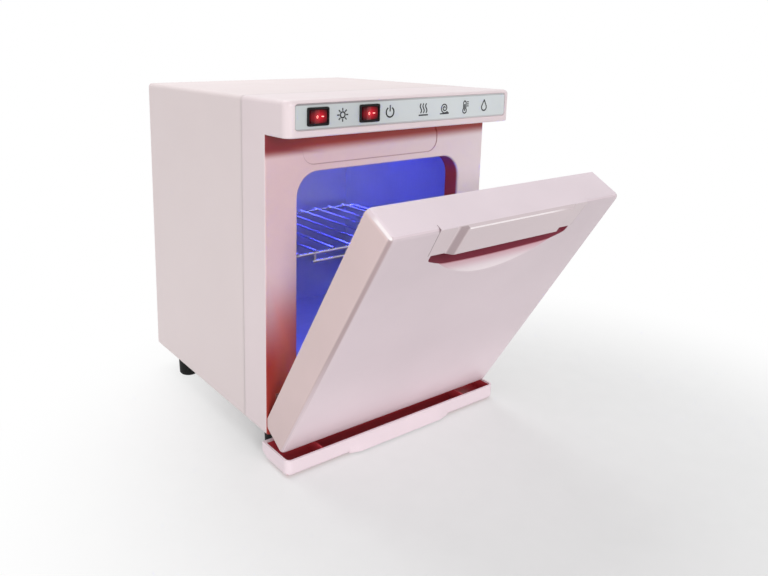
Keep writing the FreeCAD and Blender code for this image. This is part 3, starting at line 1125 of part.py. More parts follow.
def door_shell():
    """Hollow door front with handle seat, hinge notches and the finger scoop."""
    b = body("door_block")
    outline = rounded(sketch_on(b, "XZ", "door_back"), *span("door_half"),
                      "door_bottom", "door_top", "door_corner")
    pad(b, outline, "door_thick", "-Y")
    whole = (("-door_half", "door_half"), ("door_front", "door_front"), ("door_bottom", "door_top"))
    fillet(b, "door_edge", whole)
    stop = "(closed_gap + pivot_inset - stop_gap)"
    heel_y = f"(({stop} - pivot_rise * sin(door_open)) / cos(door_open))"
    heel_z = f"((pivot_inset * cos(door_open) - {stop}) / sin(door_open))"
    heel = polygon(sketch_on(b, "YZ", "-door_half - 1"), [
        (heel_y, "door_bottom"), ("door_back", heel_z), ("door_back + 2", heel_z),
        ("door_back + 2", "door_bottom - 2"), (heel_y, "door_bottom - 2")])
    pocket(b, heel, "door_width + 2", "+X")
    room = rectangle(sketch_on(b, "XZ", "door_back"), *span("door_half - door_wall"),
                     "door_bottom + door_sill", "door_top - door_wall")
    pocket(b, room, "door_thick - door_skin", "-Y")
    boss = rectangle(sketch_on(b, "XZ", "door_front + 1"), *span("handle_length / 2 + door_wall"),
                     "door_top - scoop_reach - 2 * door_wall", "door_top - door_wall / 2")
    pad(b, boss, "finger_depth + door_skin - 1", "+Y")
    posts = circles(sketch_on(b, "XZ", "door_front + 1"), DOOR_POSTS, "post_radius")
    pad(b, posts, "door_thick - panel_thick - 1", "+Y")
    rebate = rectangle(sketch_on(b, "XZ", "door_back + 1"), *span("door_half - door_wall + panel_ledge"),
                       "door_bottom + door_sill - panel_ledge", "door_top - door_wall + panel_ledge")
    pocket(b, rebate, "panel_thick + 1", "-Y")
    pilots = circles(sketch_on(b, "XZ", "door_back - panel_thick"), DOOR_POSTS, "screw_radius")
    pocket(b, pilots, "screw_bite + 5", "-Y")
    ends = span("handle_length / 2")
    feet_x = span("handle_length / 2 - handle_slant")
    seat = polygon(sketch_on(b, "XZ", "door_front - 1"), [
        (ends[0], "door_top + 1"), (feet_x[0], "door_top - handle_drop"),
        (feet_x[1], "door_top - handle_drop"), (ends[1], "door_top + 1")])
    pocket(b, seat, "handle_base + 1", "+Y")
    notches = sketch_on(b, "XZ", "door_back + 1")
    for name, sign in SIDES:
        rectangle(notches, *across(f"{sign} * ear_x", "bracket_width + 1"), "door_bottom - 1",
                  "ear_radius + notch_play")
    pocket(b, notches, "1 + pivot_inset + ear_radius + notch_play", "-Y")
    for name, sign in SIDES:
        start = f"{sign} * ear_x - hinge_pin_length / 2 - 0.5"
        bore = circles(sketch_on(b, "YZ", start), [("0", "0")], "hinge_pin + pin_play")
        pocket(b, bore, "hinge_pin_length + 1", "+X")

    bowl = body("scoop_bowl")
    section = sketch_on(bowl, "YZ")
    axis_z = "(door_top + scoop_rise)"
    rim = "(door_top - scoop_reach)"
    deep = "(door_front + scoop_depth)"
    top = "(door_top - handle_drop / 2)"
    lead = ("door_front - scoop_edge * 0.03", f"{rim} - scoop_edge / 5")
    soft = ("door_front + scoop_edge * 0.11", f"{rim} + scoop_edge / 5")
    outer = arc(section, lead, ("door_front + scoop_edge * 0.015", rim), soft)
    bend = ("door_front + scoop_depth * 0.62", f"{rim} + scoop_reach * 0.42")
    inner = arc(section, soft, bend, (deep, top))
    corner = ("door_front - scoop_edge * 0.15", top)
    points = [V(number(y), number(z), 0) for y, z in ((deep, top), corner, (corner[0], lead[1]), lead)]
    lines = [section.addGeometry(Part.LineSegment(p, q), False) for p, q in zip(points, points[1:])]
    section.addConstraint(Sketcher.Constraint("Tangent", outer[0], outer[2], inner[0], inner[1]))
    section.addConstraint(Sketcher.Constraint("Coincident", inner[0], inner[2], lines[0], 1))
    section.addConstraint(Sketcher.Constraint("Coincident", lines[0], 2, lines[1], 1))
    section.addConstraint(Sketcher.Constraint("Coincident", lines[1], 2, lines[2], 1))
    section.addConstraint(Sketcher.Constraint("Coincident", lines[2], 2, outer[0], outer[1]))
    section.addConstraint(Sketcher.Constraint("Horizontal", lines[0]))
    section.addConstraint(Sketcher.Constraint("Vertical", lines[1]))
    section.addConstraint(Sketcher.Constraint("Horizontal", lines[2]))
    pinned = ((outer[0], outer[1], lead), (outer[0], outer[2], soft), (inner[0], inner[2], (deep, top)))
    for geometry, point, (y, z) in pinned:
        fix(section, "DistanceX", geometry, point, y)
        fix(section, "DistanceY", geometry, point, z)
    fix(section, "DistanceX", lines[1], 1, corner[0])
    fix(section, "Radius", outer[0], None, "scoop_edge")
    reach = span("scoop_edge / 4")
    spin_ends = [V(number(y), number(axis_z), 0) for y in reach]
    spin = section.addGeometry(Part.LineSegment(*spin_ends), True)
    section.addConstraint(Sketcher.Constraint("Horizontal", spin))
    fix(section, "DistanceX", spin, 1, reach[0])
    fix(section, "DistanceX", spin, 2, reach[1])
    fix(section, "DistanceY", spin, 1, axis_z)
    ring = bowl.newObject("PartDesign::Revolution", "scoop_ring")
    ring.Profile = section
    ring.ReferenceAxis = (section, ["Axis0"])
    bowl.Tip = ring
    DOC.recompute()
    depth = ("door_front - 5", "door_back")
    below = "door_top - handle_drop"
    window = fuse("scoop_window", [
        block("scoop_window_open", span("handle_length"), depth, (f"{rim} - scoop_edge", below)),
        block("scoop_window_back", span("handle_length / 2 - 3 * handle_slant"), depth,
              (f"{below} - 1", "door_top - handle_drop / 2")),
    ])
    hollow = fuse("scoop_hollow", [bowl, finger_pocket()])
    in_door(part(cut("door_shell", b, common("scoop_tool", [hollow, window])), "door_shell"))


def finger_pocket():
    """Straight-sided pocket with an arched floor, behind the scoop's rim."""
    b = body("finger_pocket")
    section = sketch_on(b, "XZ", "door_front - 5")
    half = "(handle_length / 2 - finger_inset)"
    floor = "(door_top - finger_drop)"
    side = f"({floor} + finger_sag)"
    ends = [(f"-{half}", side), (half, side)]
    arch = arc(section, ends[0], ("0", floor), ends[1])
    top = "(door_top - handle_drop / 2)"
    points = [V(number(x), number(z), 0) for x, z in (ends[1], (half, top), (f"-{half}", top), ends[0])]
    lines = [section.addGeometry(Part.LineSegment(p, q), False) for p, q in zip(points, points[1:])]
    section.addConstraint(Sketcher.Constraint("Coincident", arch[0], arch[2], lines[0], 1))
    section.addConstraint(Sketcher.Constraint("Coincident", lines[0], 2, lines[1], 1))
    section.addConstraint(Sketcher.Constraint("Coincident", lines[1], 2, lines[2], 1))
    section.addConstraint(Sketcher.Constraint("Coincident", lines[2], 2, arch[0], arch[1]))
    section.addConstraint(Sketcher.Constraint("Vertical", lines[0]))
    section.addConstraint(Sketcher.Constraint("Horizontal", lines[1]))
    section.addConstraint(Sketcher.Constraint("Vertical", lines[2]))
    for point, (x, z) in zip(arch[1:], ends):
        fix(section, "DistanceX", arch[0], point, x)
        fix(section, "DistanceY", arch[0], point, z)
    fix(section, "Radius", arch[0], None, f"({half} ^ 2 + finger_sag ^ 2) / (2 * finger_sag)")
    fix(section, "DistanceY", lines[1], 1, top)
    pad(b, section, "finger_depth + 5", "+Y")
    depth = ("door_front - 5", "door_front + finger_depth")
    fillet(b, "finger_round", *[((x, x), depth, (z, z)) for x, z in ends])
    return b


def door_pieces():
    """Inner panel, gasket, handle strip, strike plate and panel screws."""
    b = body("door_inner_panel")
    low = "(door_bottom + door_sill - panel_ledge + panel_play)"
    high = "(door_top - door_wall + panel_ledge - panel_play)"
    sheet_x = span("door_half - door_wall + panel_ledge - panel_play")
    pad(b, rectangle(sketch_on(b, "XZ", "door_back"), *sheet_x, low, high), "panel_thick", "-Y")
    pan_top = "(pan_base + pan_height)"
    pan_x = span("pan_width / 2")
    pan = rounded(sketch_on(b, "XZ", "door_back"), *pan_x, "pan_base", pan_top, "pan_corner")
    pad(b, pan, "pan_rise", "+Y")
    rear = "(door_back + pan_rise)"
    fillet(b, "pan_round", (pan_x, (rear, rear), ("pan_base", pan_top)))
    room = rounded(sketch_on(b, "XZ", "door_back - panel_thick"), *span("pan_width / 2 - panel_thick * 2"),
                   "pan_base + panel_thick * 2", f"{pan_top} - panel_thick * 2",
                   "pan_corner - panel_thick * 2")
    pocket(b, room, "pan_rise", "+Y")
    holes = circles(sketch_on(b, "XZ", "door_back + 1"), DOOR_POSTS, "screw_radius + screw_play")
    pocket(b, holes, "panel_thick + 2", "-Y")
    in_door(part(b, "door_inner_panel"))

    g = body("door_gasket")
    ring = sketch_on(g, "XZ", "door_back")
    for grow in ("gasket_inset", "(gasket_inset + gasket_width)"):
        rounded(ring, *span(f"pan_width / 2 + {grow}"), f"pan_base - {grow}", f"{pan_top} + {grow}",
                f"pan_corner + {grow}")
    pad(g, ring, "gasket_thick", "+Y")
    in_door(part(g, "door_gasket"))

    h = body("door_handle")
    ends = span("handle_length / 2 - panel_play")
    feet_x = span("handle_length / 2 - handle_slant - panel_play")
    base = polygon(sketch_on(h, "XZ", "door_front"), [
        (ends[0], "door_top"), (feet_x[0], "door_top - handle_drop"),
        (feet_x[1], "door_top - handle_drop"), (ends[1], "door_top")])
    pad(h, base, "handle_base", "+Y")
    foot = "(grip_length / 2)"
    grip_face = "(door_front - handle_proud)"
    grip = polygon(sketch_on(h, "XY", "door_top - handle_drop"), [
        (f"-{foot}", "door_front"), (f"grip_slope - {foot}", grip_face), (f"{foot} - grip_slope", grip_face),
        (foot, "door_front"), (foot, "door_front + 1"), (f"-{foot}", "door_front + 1")])
    pad(h, grip, "handle_drop", "+Z")
    crown = span(foot)
    fillet(h, "edge_round",
           (crown, (grip_face, grip_face), ("door_top - handle_drop", "door_top - handle_drop")),
           (crown, (grip_face, grip_face), ("door_top", "door_top")))
    in_door(part(h, "door_handle"))

    s = body("strike_plate")
    magnet_at = "(magnet_z - pivot_z)"
    plate = rounded(sketch_on(s, "XZ", "door_back - panel_thick"), *span("strike_width / 2"),
                    *across(magnet_at, "strike_height"), "edge_round")
    pad(s, plate, "strike_thick", "-Y")
    in_door(part(s, "strike_plate"))
    m = body("catch_magnet")
    slab = rounded(sketch_on(m, "XZ", "bezel_wall"), *span("strike_width / 2"),
                   *across("magnet_z", "strike_height"), "edge_round")
    pad(m, slab, "magnet_depth", "+Y")
    in_cabinet(part(m, "catch_magnet"))
    grip = "panel_thick + screw_bite"
    screws = [screw_in(f"door_screw_{i}", spot, "door_back", grip, rise="screw_rise * 0.8")
              for i, spot in enumerate(DOOR_POSTS)]
    in_door(part(group("door_screws", screws), "door_screws"))


def drip_tray():
    """Tray with end compartments, pull lip and two tongues that run in the guides."""
    b = body("drip_tray")
    half = "(tray_width / 2)"
    heel = "(tray_back - tray_run)"
    outline = polygon(sketch_on(b, "YZ", f"-{half}"), [
        ("-tray_front", "tray_rim"), ("tray_back", "tray_rim"), ("tray_back", "tray_floor + tray_rise"),
        (heel, "tray_floor"), ("-tray_front", "tray_floor")])
    pad(b, outline, "tray_width", "+X")
    front = ("-tray_front", "-tray_front")
    fillet(b, "tray_corner", *[((x, x), front, ("tray_floor", "tray_rim")) for x in (f"-{half}", half)])
    foot_edge = ("-tray_front", "tray_corner - tray_front")
    fillet(b, "tray_round", (span(half), foot_edge, ("tray_floor", "tray_floor")))
    inner = f"({half} - tray_wall)"
    open_top = rounded(sketch_on(b, "XY", "tray_rim + 1"), f"-{inner}", inner, "tray_wall - tray_front",
                       "tray_back - tray_wall", "tray_corner - tray_wall")
    pocket(b, open_top, "1 + rib_drop", "-Z")
    rib = "(tray_wall / 2)"
    bays = [(f"-{inner}", f"-rib_x - {rib}"), (f"{rib} - rib_x", f"rib_x - {rib}"), (f"rib_x + {rib}", inner)]
    for x0, x1 in bays:
        bay = polygon(sketch_on(b, "YZ", x0), [
            ("tray_wall * 2 - tray_front", "tray_rim - rib_drop + 0.5"),
            ("tray_back - tray_wall", "tray_rim - rib_drop + 0.5"),
            ("tray_back - tray_wall", "tray_floor + tray_rise + tray_wall / 2"),
            (heel, "tray_floor + tray_wall * 1.3"),
            ("tray_wall * 2 - tray_front", "tray_floor + tray_wall * 1.3")])
        pocket(b, bay, f"({x1}) - ({x0})", "+X")
    foot = "(lip_width / 2)"
    edges = []
    for level, reach in (("tray_floor", "lip_reach"), ("tray_rim - rib_drop", "lip_blend")):
        face = f"-tray_front - {reach}"
        edges.append(polygon(sketch_on(b, "XY", level), [
            (f"-{foot}", "1 - tray_front"), (f"-{foot}", "-tray_front"), (f"lip_slope - {foot}", face),
            (f"{foot} - lip_slope", face), (foot, "-tray_front"), (foot, "1 - tray_front")]))
    lip = b.newObject("PartDesign::AdditiveLoft", "tray_lip")
    lip.Profile = edges[0]
    lip.Sections = edges[1:]
    lip.Ruled = True
    b.Tip = lip
    DOC.recompute()
    tongue_top = "(tongue_base + tongue_thick)"
    for part_end, low in (("tray_back + 2", "tray_rim - rib_drop"), ("tongue_end", "tongue_base")):
        tongues = sketch_on(b, "XY", low)
        for side, sign in SIDES:
            rectangle(tongues, *across(f"{sign} * tongue_x", "tongue_width"),
                      "tray_back - tray_wall", part_end)
        pad(b, tongues, f"{tongue_top} - ({low})", "+Z")
    in_cabinet(part(b, "drip_tray"))

    for side, sign in SIDES:
        g = body("tray_guide_" + side)
        x = f"({sign} * tongue_x)"
        inside = "(tongue_width / 2 + 0.6)"
        out = f"({inside} + guide_wall)"
        lips = "(tongue_width / 2 - 4)"
        low = "(-guide_height - guide_drop)"
        floor = f"{low} + guide_wall"
        roof = "-guide_wall - guide_drop"
        right = [(inside, roof), (inside, floor), (lips, floor), (lips, low), (out, low),
                 (out, "-guide_drop")]
        corners = [(f"-{dx}", z) for dx, z in reversed(right)] + right
        channel = polygon(sketch_on(g, "XZ", "guide_front"), [(f"{x} + {dx}", z) for dx, z in corners])
        pad(g, channel, "guide_end - guide_front", "+Y")
        shim = rectangle(sketch_on(g, "XY", "-guide_drop - guide_wall / 2"), *across(x, f"2 * {out}"),
                         "bezel_depth + 22", "guide_end")
        pad(g, shim, "guide_drop + guide_wall / 2 + sheet", "+Z")
        in_cabinet(part(g, "tray_guide_" + side))


front_bezel()
case_wrap()
base_plate()
rear_panel()
control_plate()
for kind, position in SWITCHES:
    switch(kind, position)
switch_terminals()
cavity_liner()
shelf_rails()
wire_shelf()
lamp()
heater()
electrics()
mains_inlet()
feet()
hinge()
door_shell()
door_pieces()
drip_tray()

DOC.recompute()
for item in DOC.Objects:
    if "Invalid" in item.State or "Error" in item.State:
        raise ValueError(f"{item.Name} did not build")
os.makedirs("parts", exist_ok=True)
for item in PARTS:
    if item.Shape.isNull() or not item.Shape.isValid():
        raise ValueError(f"{item.Label} has no valid shape")
    item.Shape.exportStep(f"parts/{item.Label}.step")
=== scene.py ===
import json
import math

import bmesh
import bpy
from mathutils import Matrix, Vector


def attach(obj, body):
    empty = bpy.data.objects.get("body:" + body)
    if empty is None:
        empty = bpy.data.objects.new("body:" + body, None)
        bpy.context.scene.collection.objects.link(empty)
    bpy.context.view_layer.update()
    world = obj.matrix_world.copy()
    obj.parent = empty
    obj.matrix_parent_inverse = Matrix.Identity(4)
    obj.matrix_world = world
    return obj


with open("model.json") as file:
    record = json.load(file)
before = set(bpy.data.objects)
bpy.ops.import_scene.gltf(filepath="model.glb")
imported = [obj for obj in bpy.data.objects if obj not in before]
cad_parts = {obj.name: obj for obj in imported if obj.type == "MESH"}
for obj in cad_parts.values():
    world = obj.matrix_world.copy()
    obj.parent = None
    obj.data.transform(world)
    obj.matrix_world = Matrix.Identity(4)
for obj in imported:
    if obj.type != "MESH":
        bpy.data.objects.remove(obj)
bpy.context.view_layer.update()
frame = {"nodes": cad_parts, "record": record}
NODES = frame["nodes"]
SCENE = bpy.context.scene

# Cabinet coordinates are millimetres from the front frame plane and the cabinet underside.
SETBACK = 42.45
FOOT = 25.0
MILLIMETRE = 0.001


def spot(x, y, z):
    """Cabinet millimetres to the frame, in metres."""
    return Vector((x, y - SETBACK, z + FOOT)) / 1000.0


def heights(*levels):
    """Heights in the frame of cabinet levels."""
    return [spot(0.0, 0.0, level).z for level in levels]


# Tones
WHITE = (1.0, 1.0, 1.0)
PINK = (0.80, 0.685, 0.705)
# Painted highlight, laid on the door's upper corners, its lip and the grip's top edge.
PAINTED_HIGHLIGHT = (0.93, 0.86, 0.87)
# Painted shade on the front moulding: a rosier face, a deep shadow under the hood and behind the door, a
# darker hood corner, a painted red glow, and the tab's line.
ROSE_SHADE = (0.745, 0.535, 0.555)
DEEP_SHADOW = (0.37, 0.038, 0.028)
HOOD_CORNER_SHADOW = (0.22, 0.016, 0.022)
PAINTED_RED_GLOW = (0.76, 0.19, 0.13)
TAB_SHADE = (0.50, 0.33, 0.35)
WRAP = (0.79, 0.685, 0.688)
# Door pink, a darker copy of the moulding pink: painted shade. Then painted shade at the top of its front,
# painted light at its foot and on its top, and painted shade on its sides, edges, roll and finger pocket.
DOOR_SHADED_PINK = (0.722, 0.606, 0.648)
DOOR_UPPER_SHADE = (0.635, 0.533, 0.570)
DOOR_LOWER_LIGHT = (0.866, 0.727, 0.778)
DOOR_TOP_LIGHT = (0.775, 0.665, 0.715)
DOOR_SIDES_SHADE = (0.722, 0.560, 0.555)
DOOR_EDGE_SHADE = (0.42, 0.31, 0.32)
SCOOP_ROLL_SHADE = (0.60, 0.36, 0.41)
FINGER_POCKET_SHADE = (0.30, 0.045, 0.075)
# Handle pink, a darker copy again: painted shade; then painted shade on the grip's left slope and in the
# strip's seam.
HANDLE_SHADED_PINK = (0.640, 0.538, 0.560)
HANDLE_SLOPE_SHADE = (0.40, 0.31, 0.325)
HANDLE_SEAM_SHADE = (0.30, 0.22, 0.24)
# Tray pink, a lighter copy of the moulding pink: painted light; painted shade inside it.
TRAY_LIT_PINK = (0.90, 0.765, 0.815)
TRAY_INSIDE_SHADE = (0.58, 0.060, 0.080)
PLATE = (0.565, 0.605, 0.610)
# Painted light toward the plate's right, and painted shadow lines along its lower and upper edges.
PLATE_PAINTED_LIGHT = (0.68, 0.725, 0.735)
PLATE_LOWER_SHADOW = (0.42, 0.40, 0.41)
PLATE_UPPER_SHADOW = (0.31, 0.29, 0.30)
ROCKER_STOPS = [(0.0, (0.030, 0.001, 0.003)), (0.35, (0.19, 0.003, 0.008)), (0.8, (0.46, 0.008, 0.020))]

# Places on the front moulding and the wrap: boxes as two corners, spans as the start and end of a fade.
SEAM = -0.0042
SEAM_ROLL = 0.004
SEAM_SHADE = 0.9
FACE_BOX = (spot(-129.6, -1.5, -10.0), spot(129.6, 1.5, 270.8))
RETURN_BOX = (spot(-112.0, 1.0, 30.0), spot(112.0, 40.0, 246.0))
RETURN_SPAN = (spot(0.0, 4.0, 0.0).y, spot(0.0, 0.5, 0.0).y)
ROSE_SHADE_SPAN = (-0.12, 0.125)
ROSE_SHADE_LEAST = 0.1
HOOD_SLANT = (-0.0175, 0.0, 1.0)
HOOD_SHADOW_SPAN = heights(261.0, 250.5)
HOOD_CORNER_SPAN = (-0.125, -0.06)
WEDGE_SHADE_SPAN = heights(62.0, 160.0)
WEDGE_GLOW_SPAN = heights(58.0, 146.0)
STILE_GLOW_SPAN = (0.101, 0.127)
TAB_MIDDLE = spot(-13.0, 0.0, 258.0)
TAB_HALF = (0.079, 1.0, 0.017)
TAB_CORNER = 0.012
TAB_LINE = (0.0004, 0.0010)
TAB_BOX = (spot(-95.0, 0.1, 240.0), spot(69.0, 1.0, 272.0))

# Places on the door, in its own upright coordinates from the hinge axis.
HINGE = spot(0.0, -9.5, 20.5)
DOOR_LEAN = math.radians(31.0)
DOOR_FRONT_BOX = ((-0.1275, -0.0256, -0.03), (0.1275, -0.0242, 0.2450))
DOOR_TOP_BOX = ((-0.1280, -0.0240, 0.2454), (0.1280, 0.0065, 0.2470))
DOOR_UPPER_SPAN = (0.246, 0.11)
DOOR_LOWER_SPAN = (-0.01, 0.11)
DOOR_SIDE_SPAN = (0.1288, 0.1280)
EDGE_LINE = (0.1275, 0.0235, 0.0)
EDGE_REACH = 0.0024
EDGE_END_SPAN = (0.16, 0.03)
EDGE_END_SHARE = 0.8
CORNER_LINE = (0.1275, 0.0, 0.2445)
CORNER_REACH = 0.0018
CORNER_END_SPAN = (-0.008, 0.0)
SCOOP_CENTRE = (0.0, 0.0, 0.4)
SCOOP_BOX = ((-0.09, -0.0246, 0.17), (0.09, -0.0055, 0.233))
LIP_SPAN = (0.2215, 0.2045)
ROLL_SPAN = (0.2030, 0.2105)
POCKET_SPAN = (0.2028, 0.2042)
STRIP_TOP_BOX = ((-0.09, -0.0250, 0.2452), (0.09, 0.0065, 0.2470))
STRIP_SLANT = (-1.0, 0.0, -0.0741)
STRIP_SEAM_SPAN = (0.0654, 0.0649)
SLOPE_BOX = ((-0.0665, -0.0295, 0.21), (-0.0578, -0.02515, 0.25))
SLOPE_FOOT_SPAN = (-0.0262, -0.0252)
SLOPE_HEAD_SPAN = (-0.0281, -0.0289)
GRIP_EDGE_BOX = ((-0.0578, -0.0295, 0.2452), (0.0578, -0.0280, 0.25))
GRIP_EDGE_SPAN = (0.030, 0.057)

# Places on the control plate, the rockers and the tray.
PLATE_LIGHT_SPAN = (0.01, -0.06)
PLATE_FAINT_SPAN = (-0.06, 0.03)
PLATE_FAINT_SHARE = 0.55
PLATE_LOWER_SPAN = (0.3018, 0.3023)
PLATE_UPPER_SPAN = (0.3210, 0.3204)
SWITCHES = {"uv": -100.0, "power": -47.0}
PIVOT = (-30.7, 286.5)
ROCKER_GLOW = (105.0, 0.0, 150.0)
TRAY_BOX = (spot(-128.2, -31.9, -23.5), spot(128.2, 5.2, -10.4))

# Noise values mostly lie in this span.
NOISE_SPAN = (0.3, 0.7)
GRAIN_DEPTH = 0.0004
DRAWN_DEPTH = 0.0002


# Shader nodes

def add(tree, kind, values=None, **settings):
    """New shader node with its settings and the values of its inputs."""
    node = tree.nodes.new(kind)
    for key, value in settings.items():
        setattr(node, key, value)
    for key, value in (values or {}).items():
        node.inputs[key].default_value = value
    return node


def rgba(colour):
    """Colour with full opacity."""
    return (*colour, 1.0)


def scaled(colour, factor):
    """Lighter or darker colour, kept below 1."""
    return tuple(min(1.0, channel * factor) for channel in colour)


def start(name, values):
    """Material with a principled shader and object coordinates."""
    material = bpy.data.materials.new(name)
    material.use_nodes = True
    tree = material.node_tree
    shader = tree.nodes["Principled BSDF"]
    for key, value in values.items():
        shader.inputs[key].default_value = value
    place = add(tree, "ShaderNodeTexCoord").outputs["Object"]
    return material, tree, shader, place


def stretched(tree, place, scale):
    """Coordinates scaled along each axis."""
    mapping = add(tree, "ShaderNodeMapping", {"Scale": scale})
    tree.links.new(place, mapping.inputs["Vector"])
    return mapping.outputs["Vector"]


def noise(tree, place, scale, detail=2.0):
    """Noise value at a place."""
    node = add(tree, "ShaderNodeTexNoise", {"Scale": scale, "Detail": detail, "Roughness": 0.55})
    tree.links.new(place, node.inputs["Vector"])
    return node.outputs["Fac"]


def ramp(tree, factor, stops):
    """Colour ramp from (position, colour) stops."""
    node = add(tree, "ShaderNodeValToRGB")
    elements = node.color_ramp.elements
    while len(elements) < len(stops):
        elements.new(1.0)
    for element, (position, colour) in zip(elements, stops):
        element.position = position
        element.color = rgba(colour)
    tree.links.new(factor, node.inputs["Fac"])
    return node.outputs["Color"]


def drifting(tree, factor, colour, *shares):
    """Colour that drifts with a noise value between two shares of itself."""
    return ramp(tree, factor, [(at, scaled(colour, share)) for at, share in zip(NOISE_SPAN, shares)])


def mapped(tree, value, source, target, interpolation):
    """Value carried from one range to another."""
    ranges = {"From Min": source[0], "From Max": source[1], "To Min": target[0], "To Max": target[1]}
    node = add(tree, "ShaderNodeMapRange", ranges, interpolation_type=interpolation)
    tree.links.new(value, node.inputs["Value"])
    return node.outputs["Result"]


def spread(tree, factor, low, high):
    """Noise value carried onto a range."""
    return mapped(tree, factor, NOISE_SPAN, (low, high), "LINEAR")


def fade(tree, value, start_at, end_at, low=0.0, high=1.0):
    """Smooth change between two places along an axis."""
    return mapped(tree, value, (start_at, end_at), (low, high), "SMOOTHSTEP")


def blend(tree, factor, first, second):
    """Mix of two colours."""
    node = add(tree, "ShaderNodeMix", data_type="RGBA")
    tree.links.new(factor, node.inputs["Factor"])
    tree.links.new(first, node.inputs[6])
    tree.links.new(second, node.inputs[7])
    return node.outputs[2]


def bump(tree, shader, height, strength, depth):
    """Surface relief from a height value."""
    node = add(tree, "ShaderNodeBump", {"Strength": strength, "Distance": depth})
    tree.links.new(height, node.inputs["Height"])
    tree.links.new(node.outputs["Normal"], shader.inputs["Normal"])


def combined(tree, operation, first, second):
    """Two values joined by an operation."""
    node = add(tree, "ShaderNodeMath", operation=operation)
    tree.links.new(first, node.inputs[0])
    tree.links.new(second, node.inputs[1])
    return node.outputs["Value"]


def product(tree, first, second):
    """Product of two values."""
    return combined(tree, "MULTIPLY", first, second)


def larger(tree, first, second):
    """Larger of two values."""
    return combined(tree, "MAXIMUM", first, second)


def vector_math(tree, operation, vector, other=None, result="Vector"):
    """Vector operation with a constant as the second vector."""
    node = add(tree, "ShaderNodeVectorMath", {1: other} if other else None, operation=operation)
    tree.links.new(vector, node.inputs[0])
    return node.outputs[result]


def split(tree, vector):
    """X, Y and Z of a vector."""
    axes = add(tree, "ShaderNodeSeparateXYZ")
    tree.links.new(vector, axes.inputs["Vector"])
    return axes.outputs


def outside(tree, place, box):
    """0 inside a box, 1 outside it."""
    axes = split(tree, place)
    inside = None
    for axis, *bounds in zip("XYZ", *box):
        for bound, kind in zip(bounds, ("GREATER_THAN", "LESS_THAN")):
            test = add(tree, "ShaderNodeMath", {1: bound}, operation=kind)
            tree.links.new(axes[axis], test.inputs[0])
            within = test.outputs["Value"]
            inside = product(tree, inside, within) if inside else within
    node = add(tree, "ShaderNodeMath", {0: 1.0}, operation="SUBTRACT")
    tree.links.new(inside, node.inputs[1])
    return node.outputs["Value"]


def near(tree, point, across, line, reach):
    """0 close to a line, 1 beyond its reach; across has 0 for the axis that the line follows."""
    away = vector_math(tree, "DISTANCE", stretched(tree, point, across), line, result="Value")
    return fade(tree, away, 0.3 * reach, reach)


# Finishes

def moulded(name, colour, roughness, grain=1300.0, relief=0.06, cloud=0.03, painted_light_layers=None, **values):
    """Plain opaque finish: soft colour drift, fine surface grain and, if asked, painted light and shade in
    places.
    """
    material, tree, shader, place = start(name, values)
    drift = noise(tree, place, 9.0, 3.0)
    tone = drifting(tree, drift, colour, 1.0 - cloud, 1.0 + cloud)
    for share, other in painted_light_layers(tree, place) if painted_light_layers else ():
        tone = blend(tree, share, drifting(tree, drift, other, 0.95, 1.05), tone)
    tree.links.new(tone, shader.inputs["Base Color"])
    bump(tree, shader, noise(tree, place, grain), relief, GRAIN_DEPTH)
    worn = noise(tree, place, 35.0, 4.0)
    tree.links.new(spread(tree, worn, roughness - 0.05, roughness + 0.05), shader.inputs["Roughness"])
    return material


def metal(name, colour, roughness, grain=(60.0, 60.0, 2400.0), relief=0.08, **values):
    """Bare metal with drawn lines and faint stains."""
    material, tree, shader, place = start(name, {"Metallic": 1.0, **values})
    stain = noise(tree, place, 22.0, 4.0)
    tree.links.new(drifting(tree, stain, colour, 0.9, 1.0), shader.inputs["Base Color"])
    lines = noise(tree, stretched(tree, place, grain), 1.0, 3.0)
    tree.links.new(spread(tree, lines, roughness - 0.07, roughness + 0.08), shader.inputs["Roughness"])
    bump(tree, shader, lines, relief, DRAWN_DEPTH)
    return material


def glowing(name, colour, light, power, roughness):
    """Lit plastic or glass whose glow drifts a little."""
    material, tree, shader, place = start(name, {"Roughness": roughness})
    drift = noise(tree, place, 160.0)
    tree.links.new(drifting(tree, drift, colour, 0.85, 1.0), shader.inputs["Base Color"])
    tree.links.new(drifting(tree, drift, light, 0.8, 1.0), shader.inputs["Emission Color"])
    tree.links.new(spread(tree, drift, power * 0.85, power * 1.15), shader.inputs["Emission Strength"])
    return material


def rocker(name, centre):
    """Lit red rocker, brightest in its middle and dark toward its frame."""
    material, tree, shader, place = start(name, {"Roughness": 0.22, "Specular IOR Level": 0.15})
    from_centre = vector_math(tree, "SUBTRACT", place, spot(centre, *PIVOT))
    ball = add(tree, "ShaderNodeTexGradient", gradient_type="SPHERICAL")
    tree.links.new(stretched(tree, from_centre, ROCKER_GLOW), ball.inputs["Vector"])
    tone = ramp(tree, ball.outputs["Fac"], ROCKER_STOPS)
    tree.links.new(tone, shader.inputs["Base Color"])
    tree.links.new(tone, shader.inputs["Emission Color"])
    glow = noise(tree, place, 160.0)
    tree.links.new(spread(tree, glow, 0.40, 0.55), shader.inputs["Emission Strength"])
    return material


# Painted light and shade in places: each layer is a share, 0 where its tone shows, and the tone.

def tab_line(tree, place):
    """0 on a thin line of painted shade along the rounded border of the tab recess, 1 elsewhere."""
    folded = vector_math(tree, "ABSOLUTE", vector_math(tree, "SUBTRACT", place, TAB_MIDDLE))
    straight = [side - TAB_CORNER for side in TAB_HALF]
    beyond = vector_math(tree, "SUBTRACT", folded, straight)
    clipped = vector_math(tree, "MAXIMUM", beyond, (0.0, 0.0, 0.0))
    reach = vector_math(tree, "LENGTH", clipped, result="Value")
    border = fade(tree, reach, *[TAB_CORNER - inset for inset in TAB_LINE])
    return larger(tree, border, outside(tree, place, TAB_BOX))


